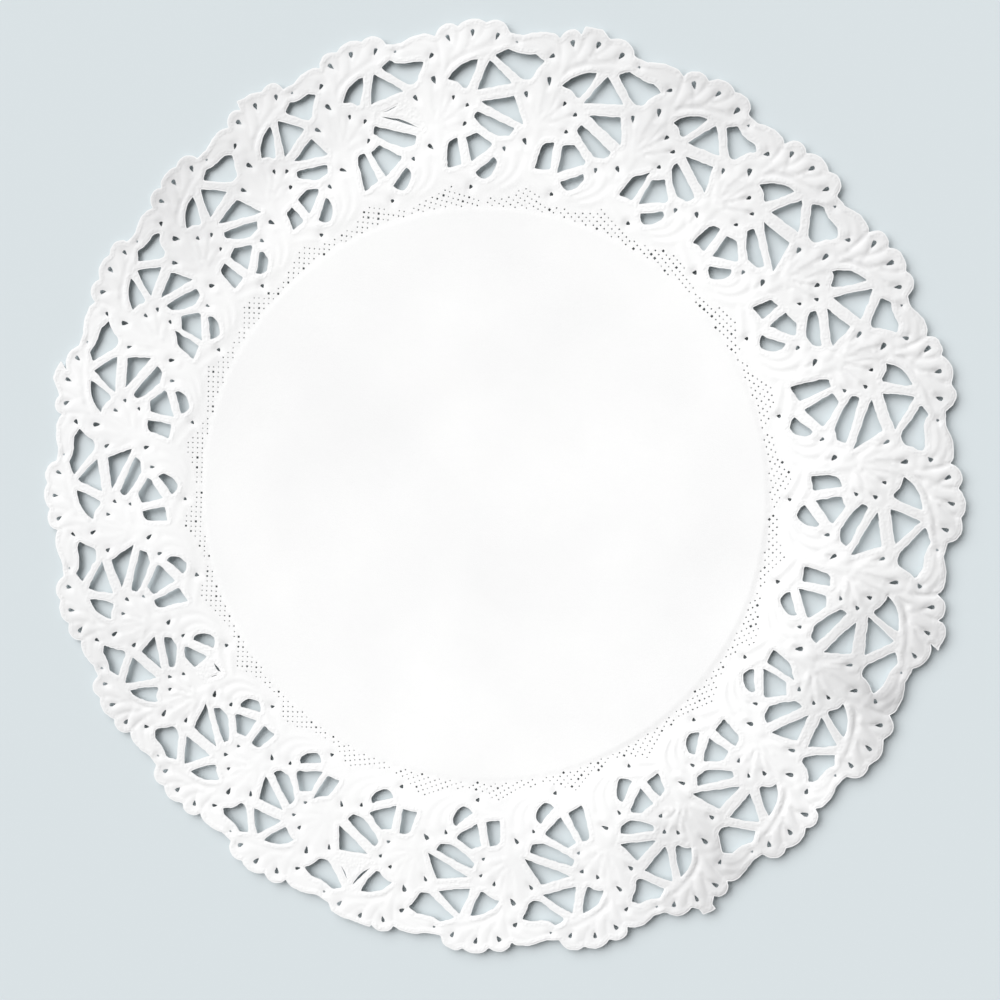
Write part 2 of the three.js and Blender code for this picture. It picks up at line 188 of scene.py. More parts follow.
# The embossing of one repeat. Where cushions meet, the higher one shows, which leaves a valley.
CUSHIONS = (
    # Shell: three lobes, and the band at its foot
    Stroke(0.42, ((8.9, 113.5, 0.6), (9.2, 116.5, 1.1), (9.5, 119.3, 1.6), (9.7, 122.8, 2.6))),
    Stroke(0.48, ((10.3, 117.4, 1.0), (11.4, 119.6, 1.8), (12.7, 123.4, 2.8))),
    Stroke(0.46, ((12.2, 118.6, 1.0), (13.8, 120.2, 1.8), (15.7, 122.7, 2.7))),
    Stroke(0.42, ((9.4, 112.8, 0.9), (11.0, 115.2, 1.0), (12.9, 117.3, 1.0), (14.5, 118.2, 1.0),
                  (16.0, 118.6, 1.0), (16.9, 119.5, 0.9))),
    # Ribbon
    Stroke(0.38, ((17.4, 121.1, 2.2), (19.0, 121.2, 2.3), (20.6, 121.2, 2.6), (22.2, 119.2, 2.5),
                  (22.9, 116.5, 2.0))),
    # Leaf: two big lobes, the middle rib, and three small lobes on the other side
    Stroke(0.44, ((21.5, 101.0, 0.8), (20.6, 105.0, 2.0), (19.6, 108.2, 2.7))),
    Stroke(0.46, ((21.8, 101.5, 0.8), (21.7, 106.0, 2.0), (22.2, 112.0, 3.6))),
    Stroke(0.38, ((7.3, 102.0, 0.7), (7.9, 107.0, 1.2), (8.5, 110.5, 1.4))),
    Stroke(0.42, ((7.2, 101.5, 0.7), (8.6, 104.5, 1.5), (9.9, 107.3, 2.4))),
    Stroke(0.42, ((7.6, 101.0, 0.7), (9.8, 103.2, 1.5), (11.8, 104.9, 2.2))),
    Stroke(0.40, ((7.8, 99.8, 0.7), (9.5, 100.2, 1.5), (11.3, 99.9, 2.2))),
    Stroke(0.30, ((7.0, 99.5, 1.5), (6.9, 96.5, 1.4), (6.8, 92.0, 1.2), (6.9, 88.0, 1.0))),
    # Scroll: a bulb at its head, and the ridges that sweep down from it around the crescent
    Stroke(0.40, ((20.6, 98.6, 1.8), (20.5, 95.6, 2.6), (20.6, 93.4, 1.9))),
    Stroke(0.32, ((17.6, 94.6, 1.3), (17.3, 93.0, 1.8))),
    Stroke(0.17, ((17.2, 92.0, 0.8), (17.6, 90.0, 0.8), (17.5, 88.2, 0.8), (16.6, 86.3, 0.7),
                  (15.2, 85.0, 0.7), (13.7, 84.0, 0.6))),
    Stroke(0.20, ((19.2, 92.4, 1.2), (19.3, 90.3, 1.2), (19.2, 88.2, 1.1), (18.0, 85.9, 1.0),
                  (16.2, 84.3, 0.9), (14.4, 83.3, 0.7))),
    Stroke(0.22, ((21.5, 92.6, 1.2), (21.4, 89.5, 1.2), (20.8, 87.4, 1.1), (19.9, 85.4, 1.0),
                  (18.4, 83.9, 0.9), (17.0, 83.0, 0.7))),
    Stroke(0.16, ((22.4, 94.0, 0.8), (22.3, 91.0, 0.8), (22.3, 88.6, 0.8))),
    # Braided band under the arch, and the ridge around the net
    Stroke(0.26, ((7.3, 88.0, 0.8), (9.0, 87.8, 0.9), (10.7, 87.2, 0.9), (12.2, 85.6, 0.8))),
    Stroke(0.22, ((6.5, 86.6, 0.9), (8.2, 85.2, 0.9), (9.6, 83.9, 0.8), (11.1, 82.7, 0.7))),
)
CREASES = (
    # Shell: along the ribbon before it, between its lobes, and the deep one above the band at its foot
    Stroke(0.30, ((8.15, 122.8, 0.6), (8.4, 121.0, 0.55), (8.5, 119.0, 0.5), (8.5, 116.8, 0.4))),
    Stroke(0.18, ((10.95, 124.6, 0.6), (10.9, 121.8, 0.55), (10.7, 119.6, 0.5))),
    Stroke(0.18, ((14.3, 125.0, 0.6), (13.7, 122.4, 0.55), (12.9, 120.4, 0.5))),
    Stroke(0.26, ((8.9, 113.5, 0.4), (9.5, 115.1, 0.5), (10.7, 116.9, 0.6), (12.05, 118.2, 0.65),
                  (13.6, 119.0, 0.65), (15.2, 119.9, 0.5))),
    # Ribbon, a soft groove from pinhole to pinhole
    Stroke(0.24, ((18.6, 120.9, 0.5), (20.2, 121.4, 0.7), (21.4, 120.7, 0.7), (22.2, 119.4, 0.6))),
    # Leaf: folds on its face, and the middle rib
    Stroke(0.12, ((20.3, 108.0, 0.5), (20.8, 105.4, 0.6), (21.4, 102.6, 0.45))),
    Stroke(0.16, ((22.9, 108.4, 0.5), (22.6, 105.6, 0.6), (22.1, 102.8, 0.5), (21.4, 100.8, 0.4))),
    Stroke(0.10, ((8.7, 107.4, 0.5), (8.4, 105.0, 0.5), (7.8, 102.6, 0.4))),
    Stroke(0.10, ((10.2, 102.6, 0.5), (9.2, 101.8, 0.5), (8.3, 100.8, 0.4))),
    # Scroll: beside the crescent, and the long line that sweeps down from its bulb around the ridges
    Stroke(0.08, ((16.95, 90.2, 0.5), (16.9, 88.4, 0.5), (16.4, 87.0, 0.5), (15.3, 85.9, 0.45),
                  (14.1, 84.6, 0.4))),
    Stroke(0.09, ((18.05, 92.6, 0.55), (18.3, 91.0, 0.6), (18.3, 89.2, 0.6), (17.9, 87.3, 0.55),
                  (16.9, 85.6, 0.5), (15.4, 84.3, 0.4))),
    Stroke(0.12, ((20.3, 92.4, 0.5), (20.2, 89.6, 0.7), (19.8, 87.3, 0.75), (19.0, 85.7, 0.7),
                  (18.0, 84.6, 0.55), (17.0, 83.7, 0.4))),
    Stroke(0.09, ((21.9, 94.4, 0.5), (21.8, 92.0, 0.5), (21.8, 89.6, 0.5), (22.0, 87.4, 0.45))),
)

# Height of the sheet's upper side over the ground, by distance from the middle
GROUND_MM = (0.0, 30.0, 62.0, 77.7, 78.4, 84.0, 90.0, 100.0, 128.0)
GROUND_UP = (0.24, 0.32, 0.80, 1.10, 1.07, 1.30, 1.46, 1.58, 1.72)

# Where the sheet lies higher or lower than that: angle and its spread, distance and its spread, height
SWELLS = (
    (108, 34, 103, 12, 0.40), (258, 34, 99, 12, 0.34), (240, 30, 89, 7, 0.30), (332, 14, 90, 8, 0.20),
    (38, 32, 90, 8, 0.24), (185, 42, 126, 7, 0.36), (112, 30, 127, 7, 0.22), (185, 40, 92, 7, 0.25),
    (106, 30, 101, 6, 0.30), (262, 14, 90, 7, 0.20), (225, 11, 101, 6, -0.45), (337, 14, 101, 7, -0.45),
    (302, 16, 116, 8, -0.35), (310, 48, 128, 7, -0.55), (210, 10, 115, 8, 0.25), (172, 14, 101, 6, 0.20),
)

# How hard the press struck, by the angle around the sheet
PRESS_DEG = (0, 45, 75, 97, 113, 127, 142, 158, 208, 230, 262, 305, 340, 360)
PRESS_FORCE = (0.36, 0.7, 0.92, 1.08, 1.0, 0.68, 1.0, 0.42, 0.18, 0.6, 0.3, 0.42, 0.34, 0.36)

# Painted shade: how far the paper's colour is greyed, by the angle around the sheet
PAINTED_SHADE_DEG = (0, 22, 52, 82, 98, 112, 127, 142, 158, 215, 247, 265, 290, 310, 352, 360)
PAINTED_SHADE_SHARE = (0.3, 0.5, 0.4, 0.45, 0.5, 0.95, 0.05, 0.8, 0.15, 0.05, 0.4, 0.1, 0.25, 0.7, 0.15, 0.3)

# How far the corners of outlines are rounded, and of the gaps that are rounded more
CORNER_MM = 0.32
ROUND_MM = {"under_ribbon": 0.6, "arch": 0.6}

# A vein's half width at its pinhole as a share of the pinhole's width, and at its root
VEIN_SHARE = 0.52
VEIN_ROOT_MM = 0.38

# Seeds of all that is left to chance. The last three have the number of the field or repeat added.
WAVER_SEEDS = (11, 12)
NICK_SEEDS = (13, 14)
PRESS_SEED = 21
LIE_SEEDS = (31, 32)
FIELD_SEED = 300
NET_SEED = 500
PINHOLE_SEED = 700

# Stand in for zero where something is divided by a length
TINY = 1e-12
TINY_MM = 1e-9

# Points this close become one
MERGE_MM = 1e-7

# A height under everything, from which the sheet is felt upwards
FAR_BELOW = -5.0


def veins() -> list[Stroke]:
    """Gives the veins that run from their roots to the pinholes."""
    strokes = []
    for deg, mm, _, _, width, root_deg, root_mm, depth in PINHOLES:
        if depth:
            rows = ((deg, mm, VEIN_SHARE * width), (root_deg, root_mm, VEIN_ROOT_MM))
            strokes.append(Stroke(depth, rows))
    return strokes


def smooth_step(values: np.ndarray) -> np.ndarray:
    """Eases shares from nothing to one."""
    held = np.clip(values, 0.0, 1.0)
    return held * held * (3.0 - 2.0 * held)


def soft_noise(points: np.ndarray, wave: float, seed: int) -> np.ndarray:
    """Gives smooth, seeded random values from -1 to 1 over the sheet.

    Args:
        points: Places in millimetres, one to a row.
        wave: Size of the blotches in millimetres.
        seed: Number that fixes the values.

    Returns:
        One value for each place.
    """
    cells = 256
    table = np.random.default_rng(seed).uniform(-1.0, 1.0, (cells, cells))
    scaled = points / wave + cells / 2
    low = np.floor(scaled).astype(int)
    share = smooth_step(scaled - low)
    left, below = low[:, 0] % cells, low[:, 1] % cells
    right, above = (left + 1) % cells, (below + 1) % cells
    near = table[left, below] * (1 - share[:, 0]) + table[right, below] * share[:, 0]
    far = table[left, above] * (1 - share[:, 0]) + table[right, above] * share[:, 0]
    return near * (1 - share[:, 1]) + far * share[:, 1]


def on_sheet(deg: np.ndarray, mm: np.ndarray) -> np.ndarray:
    """Turns degrees and distances into places on the sheet."""
    angle = np.radians(deg)
    return np.stack([mm * np.sin(angle), mm * np.cos(angle)], axis=-1)


def polar(points: np.ndarray) -> tuple[np.ndarray, np.ndarray]:
    """Turns places on the sheet into degrees, from -180 to 180, and distances from the middle."""
    return np.degrees(np.arctan2(points[:, 0], points[:, 1])), np.linalg.norm(points, axis=1)


def inside(points: np.ndarray, ring: np.ndarray) -> np.ndarray:
    """Tells which places lie inside a closed line.

    Args:
        points: Places, one to a row.
        ring: The line's corners in order.

    Returns:
        True for each place inside.
    """
    start, end = ring, np.roll(ring, -1, axis=0)
    x, y = points[:, :1], points[:, 1:]
    crosses = (start[:, 1] > y) != (end[:, 1] > y)
    rise = np.where(end[:, 1] == start[:, 1], TINY, end[:, 1] - start[:, 1])
    reach = (end[:, 0] - start[:, 0]) * (y - start[:, 1]) / rise + start[:, 0]
    return (np.count_nonzero(crosses & (x < reach), axis=1) % 2) == 1


def facing(ring: np.ndarray, paper_inside: bool) -> np.ndarray:
    """Runs a closed line so that the paper lies on its left."""
    after = np.roll(ring, -1, axis=0)
    anticlockwise = np.sum(ring[:, 0] * after[:, 1] - after[:, 0] * ring[:, 1]) > 0
    return ring if anticlockwise == paper_inside else ring[::-1]


def dense(ring: np.ndarray, step: float) -> np.ndarray:
    """Fills a closed line with close points, for measuring how far off it is."""
    after = np.roll(ring, -1, axis=0)
    counts = np.maximum(1, np.ceil(np.linalg.norm(after - ring, axis=1) / step).astype(int))
    pieces = [
        start + (end - start) * np.linspace(0, 1, count, endpoint=False)[:, None]
        for start, end, count in zip(ring, after, counts)
    ]
    return np.concatenate(pieces)


def beside(ring: np.ndarray, offset: float) -> np.ndarray:
    """Gives points beside a closed line, in the paper, as far off as offset."""
    along = np.roll(ring, -1, axis=0) - np.roll(ring, 1, axis=0)
    along /= np.maximum(np.linalg.norm(along, axis=1), TINY_MM)[:, None]
    return ring + np.stack([-along[:, 1], along[:, 0]], axis=-1) * offset


def hex_grid(step: float, low_mm: float, high_mm: float) -> np.ndarray:
    """Gives an even grid of places between two distances from the middle."""
    rows = np.arange(-high_mm, high_mm + step, step * math.sqrt(3) / 2)
    columns = np.arange(-high_mm, high_mm + step, step)
    x, y = np.meshgrid(columns, rows)
    x = x + (np.arange(len(rows)) % 2)[:, None] * step / 2
    spots = np.stack([x, y], axis=-1).reshape(-1, 2)
    _, mm = polar(spots)
    return spots[(mm > low_mm) & (mm < high_mm)]


class Nearest:
    """Measures how far places are from a cloud of points."""

    def __init__(self, cloud: np.ndarray) -> None:
        """Keeps the cloud, which has one point to a row."""
        self._tree = KDTree(len(cloud))
        for index, (x, y) in enumerate(cloud.tolist()):
            self._tree.insert((x, y, 0.0), index)
        self._tree.balance()

    def gap(self, points: np.ndarray) -> np.ndarray:
        """Gives the distance from each place to the cloud."""
        find = self._tree.find
        return np.array([find((x, y, 0.0))[2] for x, y in points.tolist()])


def clear_of(cloud: Nearest, points: np.ndarray, room: float) -> np.ndarray:
    """Keeps the places that are further than room from a cloud."""
    return points[cloud.gap(points) > room]


def thin_out(points: np.ndarray, room: float) -> np.ndarray:
    """Drops places that crowd an earlier one.

    Args:
        points: Places in order of how much they matter.
        room: Least distance between two that stay.

    Returns:
        The places that stay.
    """
    kept: list[tuple[float, float]] = []
    cells: dict[tuple[int, int], list[tuple[float, float]]] = {}
    for x, y in points.tolist():
        column, row = int(x // room), int(y // room)
        near = (
            spot
            for i in (column - 1, column, column + 1)
            for j in (row - 1, row, row + 1)
            for spot in cells.get((i, j), ())
        )
        if all(math.hypot(x - a, y - b) >= room for a, b in near):
            kept.append((x, y))
            cells.setdefault((column, row), []).append((x, y))
    return np.array(kept).reshape(-1, 2)


@dataclass(frozen=True)
class LaceChart:
    """Where everything in the lace lies: the plain repeat, and how each repeat strays from it.

    The waver and the finer nicks are how far outlines leave their line, each over its own wave. The
    pinholes' lengths and widths are the shares of their size that chance may give them.
    """

    edge_step: float = 0.88
    least_bow: float = 0.04
    corner_share: float = 0.28
    waver: float = 0.14
    waver_wave: float = 1.6
    nick: float = 0.10
    nick_wave: float = 0.5
    undrift_rounds: int = 5
    slit_points: int = 8
    pinhole_points: int = 8
    pinhole_turn_deg: float = 12.0
    pinhole_lengths: tuple[float, float] = (0.86, 1.1)
    pinhole_widths: tuple[float, float] = (0.82, 1.1)
    pinhole_tail: float = 0.2
    pinhole_taper: float = 0.5
    pinhole_rag: float = 0.05
    rings: tuple[DriftRing, ...] = (
        DriftRing(84.9, 11.7, ((0, 0),) * QUADRANT_REPEATS),
        DriftRing(94.2, 3.9, ((0, 0.7), (0.6, -0.5), (0.1, -0.4), (-0.1, -0.6), (-0.3, 1.0), (-0.3, -0.1))),
        DriftRing(106.2, 9.0, ((0.5, -0.1), (0.7, 0.2), (-0.1, -0.6), (0.4, -1.7), (-1.0, 1.8), (-0.6, 0.3))),
        DriftRing(121.8, 12.7, ((0.2, -0.1), (1.0, -0.5), (0.4, -1.1), (0, 0.2), (-1.1, 1.0), (-0.5, 0.4))),
    )

    def _ring_drift(self, ring: DriftRing, deg: np.ndarray) -> np.ndarray:
        """Gives turn and lift on one ring, smooth from each repeat to the next."""
        turns = (deg - ring.first) / REPEAT_DEG
        before = np.floor(turns).astype(int)
        share = smooth_step(turns - before)[:, None]
        table = np.array(ring.drifts, dtype=float)
        low, high = table[before % QUADRANT_REPEATS], table[(before + 1) % QUADRANT_REPEATS]
        return low + (high - low) * share

    def drift(self, deg: np.ndarray, mm: np.ndarray) -> np.ndarray:
        """Gives turn and lift at places of the plain repeats, between the rings around them.

        Args:
            deg: Degrees of the places.
            mm: Their distances from the middle.

        Returns:
            Rows of turn and lift.
        """
        radii = np.array([ring.mm for ring in self.rings])
        tables = np.stack([self._ring_drift(ring, deg) for ring in self.rings])
        held = np.clip(mm, radii[0], radii[-1])
        outer = np.clip(np.searchsorted(radii, held), 1, len(radii) - 1)
        share = ((held - radii[outer - 1]) / (radii[outer] - radii[outer - 1]))[:, None]
        spot = np.arange(len(deg))
        return tables[outer - 1, spot] * (1 - share) + tables[outer, spot] * share

    def place(self, rows: np.ndarray, repeat: int) -> np.ndarray:
        """Carries rows of degrees and millimetres to their repeat, drifted, as places on the sheet."""
        deg = rows[:, 0] + repeat * REPEAT_DEG
        moved = self.drift(deg, rows[:, 1])
        return on_sheet(deg + moved[:, 0], rows[:, 1] + moved[:, 1])

    def plain(self, points: np.ndarray) -> tuple[np.ndarray, np.ndarray]:
        """Finds where places on the sheet lie in the plain repeats, which undoes the drift.

        Args:
            points: Places on the sheet.

        Returns:
            Their degrees and their distances from the middle.
        """
        seen_deg, seen_mm = polar(points)
        deg, mm = seen_deg, seen_mm
        for _ in range(self.undrift_rounds):
            moved = self.drift(deg, mm)
            deg, mm = seen_deg - moved[:, 0], seen_mm - moved[:, 1]
        return deg, mm

    def _edge(
        self, start: np.ndarray, end: np.ndarray, bow: float, outward: np.ndarray, cut: float,
    ) -> np.ndarray:
        """Gives points along one bowed edge, without the bit at each end where the corner rounds.

        Args:
            start: First corner.
            end: Last corner.
            bow: How far the edge bulges outwards.
            outward: A direction that points out of the outline.
            cut: Length left out at each end.

        Returns:
            The points in order.
        """
        chord = end - start
        length = float(np.linalg.norm(chord))
        along = chord / length
        steps = max(1, math.ceil((length - 2 * cut) / self.edge_step))
        shares = np.linspace(cut / length, 1 - cut / length, steps + 1)[:, None]
        if abs(bow) < self.least_bow:
            return start + chord * shares
        across = np.array([along[1], -along[0]])
        across *= math.copysign(1.0, float(across @ outward)) * math.copysign(1.0, bow)
        half, depth = length / 2, abs(bow)
        radius = (half * half + depth * depth) / (2 * depth)
        angle = math.asin(half / radius) * (2 * shares - 1)
        middle = (start + end) / 2 + across * (depth - radius)
        return middle + along * radius * np.sin(angle) + across * radius * np.cos(angle)

    def _round_ring(
        self, corners: np.ndarray, bows: list[float], outward: list[np.ndarray], rounding: float = CORNER_MM,
    ) -> np.ndarray:
        """Joins corners to a closed line.

        Args:
            corners: The corners in order.
            bows: How far the edge from each corner to the next bulges outwards.
            outward: A direction out of the outline for each edge.
            rounding: How far from a corner its rounding starts.

        Returns:
            The line, with bowed edges, small round corners and a worn die's waver.
        """
        ends = np.roll(corners, -1, axis=0)
        cuts = np.minimum(rounding, self.corner_share * np.linalg.norm(ends - corners, axis=1))
        edges = [self._edge(*edge) for edge in zip(corners, ends, bows, outward, cuts)]
        pieces = []
        for edge, corner, after in zip(edges, ends, [*edges[1:], edges[0]]):
            # The middle of the curve that rounds the corner
            tip = 0.25 * edge[-1] + 0.5 * corner + 0.25 * after[0]
            pieces.append(np.vstack([edge, tip]))
        return self._wavered(np.concatenate(pieces))

    def _wavered(self, ring: np.ndarray) -> np.ndarray:
        """Moves points a little off their line, as a worn cutting die does."""
        shift = np.stack([soft_noise(ring, self.waver_wave, seed) for seed in WAVER_SEEDS], axis=-1)
        nick = np.stack([soft_noise(ring, self.nick_wave, seed) for seed in NICK_SEEDS], axis=-1)
        return ring + self.waver * shift + self.nick * nick

    def gap_corners(self, name: str, repeat: int) -> np.ndarray:
        """Gives one gap's corners on the sheet, strays among them."""
        rows = np.array(GAPS[name], dtype=float)[:, :2]
        for (own, corner), moved in STRAYS[name].items():
            if own == repeat % QUADRANT_REPEATS:
                rows[corner] += moved
        return self.place(rows, repeat)

    @staticmethod
    def gap_outward(corners: np.ndarray) -> list[np.ndarray]:
        """Gives the direction out of a gap at each of its edges."""
        middle = corners.mean(axis=0)
        return list((corners + np.roll(corners, -1, axis=0)) / 2 - middle)

    def gap(self, name: str, repeat: int) -> np.ndarray:
        """Gives the closed line of one gap."""
        corners = self.gap_corners(name, repeat)
        bows = [row[2] for row in GAPS[name]]
        return self._round_ring(corners, bows, self.gap_outward(corners), ROUND_MM.get(name, CORNER_MM))

    def slit(self, name: str, repeat: int, edge: int, share: tuple[float, float], width: float) -> np.ndarray:
        """Gives the closed line of a slit that parts unpunched paper along one edge of its gap.

        Args:
            name: The gap that was never punched out.
            repeat: Its repeat.
            edge: Number of the edge that the slit follows.
            share: Where along the edge the slit starts and ends.
            width: Its widest opening.

        Returns:
            The slit's line, pointed at both ends.
        """
        corners = self.gap_corners(name, repeat)
        start, end = corners[edge], corners[(edge + 1) % len(corners)]
        inward = -self.gap_outward(corners)[edge]
        inward /= np.linalg.norm(inward)
        outer = start + (end - start) * np.linspace(*share, self.slit_points)[:, None]
        taper = np.sin(np.linspace(0, math.pi, self.slit_points))[1:-1, None]
        inner = (outer[1:-1] + inward * width * taper)[::-1]
        return self._wavered(np.vstack([outer, inner]))

    def rim(self) -> np.ndarray:
        """Gives the closed line of the doily's edge, torn shells among it."""
        rows: list[tuple[float, float, float]] = []
        for repeat in range(REPEATS):
            last, torn = TORN_SHELLS.get(repeat, (0, ()))
            own = (RIM[0], *torn, *RIM[last + 1:])
            places = self.place(np.array(own, dtype=float)[:, :2], repeat)
            rows += [(x, y, row[2]) for (x, y), row in zip(places.tolist(), own)]
        table = np.array(rows)
        corners = table[:, :2]
        outward = list(corners + np.roll(corners, -1, axis=0))
        return self._round_ring(corners, table[:, 2].tolist(), outward)

    def pinholes(self, repeat: int) -> list[np.ndarray]:
        """Gives the closed lines of one repeat's pinholes, each a drop with its tail inwards."""
        chance = np.random.default_rng(PINHOLE_SEED + repeat)
        turn = np.linspace(0, 2 * math.pi, self.pinhole_points, endpoint=False)[:, None]
        rings = []
        for deg, mm, lean, length, width, *_ in PINHOLES:
            spot = self.place(np.array([[deg, mm]]), repeat)[0]
            stray = chance.uniform(-self.pinhole_turn_deg, self.pinhole_turn_deg)
            heading = math.atan2(-spot[1], -spot[0]) + math.radians(stray - lean)
            tail = np.array([math.cos(heading), math.sin(heading)])
            side = np.array([-tail[1], tail[0]])
            half_length = length / 2 * chance.uniform(*self.pinhole_lengths)
            half_width = width / 2 * chance.uniform(*self.pinhole_widths)
            long_way = half_length * np.cos(turn) * (1 + self.pinhole_tail * np.cos(turn))
            wide_way = half_width * np.sin(turn) * (1 - self.pinhole_taper * np.cos(turn))
            ragged = chance.uniform(-self.pinhole_rag, self.pinhole_rag, (self.pinhole_points, 2))
            rings.append(spot + tail * long_way + side * wide_way + ragged)
        return rings


@dataclass(frozen=True)
class PunchedNet:
    """The band of fine square net between the plain centre and the scallops.

    Holes keep a margin to the band's outer bound, and a share of the pitch to the seams between the
    fields. Crossings keep a smaller share of that margin.
    """

    pitch: float = 1.38
    inner_mm: float = 78.55
    margin: float = 0.38
    fine_holes: tuple[float, float] = (0.26, 0.38)
    wide_holes: tuple[float, float] = (0.48, 0.64)
    wide_share: float = 0.10
    hole_stray: float = 0.06
    first_deg: float = 14.0
    seam_share: float = 0.35
    crossing_share: float = 0.7
    thread_lift: float = 0.07

    def _bound(self, deg: np.ndarray) -> np.ndarray:
        """Gives how far out the net may reach at each angle."""
        degs, mms = np.array(SCALLOP).T
        return np.interp((deg - degs[0]) % REPEAT_DEG + degs[0], degs, mms)

    def field(self, number: int) -> tuple[np.ndarray, np.ndarray, float]:
        """Lays out one field of the net, from one narrow place of the band to the next.

        Args:
            number: The field, counted clockwise from the first.

        Returns:
            Middles of the holes, crossings of the threads, and the threads' turn in degrees.
        """
        turn = float(NET_TURNS[number])
        chance = np.random.default_rng(FIELD_SEED + number)
        reach = 2 * self.inner_mm
        count = int(reach / self.pitch)
        line = (np.arange(-count, count + 1)) * self.pitch
        lattice = np.stack(np.meshgrid(line, line, indexing="ij"), axis=-1).reshape(-1, 2)
        lattice += chance.uniform(0, self.pitch, 2)
        angle = math.radians(-turn)
        turned = np.array([[math.cos(angle), -math.sin(angle)], [math.sin(angle), math.cos(angle)]])
        shift = turned @ np.array([self.pitch / 2, self.pitch / 2])
        middles = lattice @ turned.T
        first = self.first_deg + number * REPEAT_DEG
        kept = []
        for spots, spare in ((middles, self.margin), (middles + shift, self.margin * self.crossing_share)):
            around, mm = polar(spots)
            deg = (around - first) % 360
            edge_room = np.minimum(deg, REPEAT_DEG - deg) * math.pi / 180 * mm
            fits = (deg < REPEAT_DEG) & (edge_room > self.pitch * self.seam_share)
            fits &= (mm > self.inner_mm + spare - self.margin) & (mm < self._bound(deg + first) - spare)
            kept.append(spots[fits])
        return kept[0], kept[1], turn

    def holes(self, number: int) -> tuple[list[np.ndarray], np.ndarray]:
        """Gives the holes of one field, a few of them torn wide.

        Args:
            number: The field, counted clockwise from the first.

        Returns:
            The closed lines of its holes, and the crossings of its threads.
        """
        middles, crossings, turn = self.field(number)
        chance = np.random.default_rng(NET_SEED + number)
        rings = []
        for middle in middles:
            middle = middle + chance.uniform(-self.hole_stray, self.hole_stray, 2)
            low, high = self.wide_holes if chance.random() < self.wide_share else self.fine_holes
            half = chance.uniform(low, high) / 2
            angle = math.radians(45 - turn) + np.arange(4) * math.pi / 2
            rings.append(middle + np.stack([np.cos(angle), np.sin(angle)], axis=-1) * half * math.sqrt(2))
        return rings, crossings


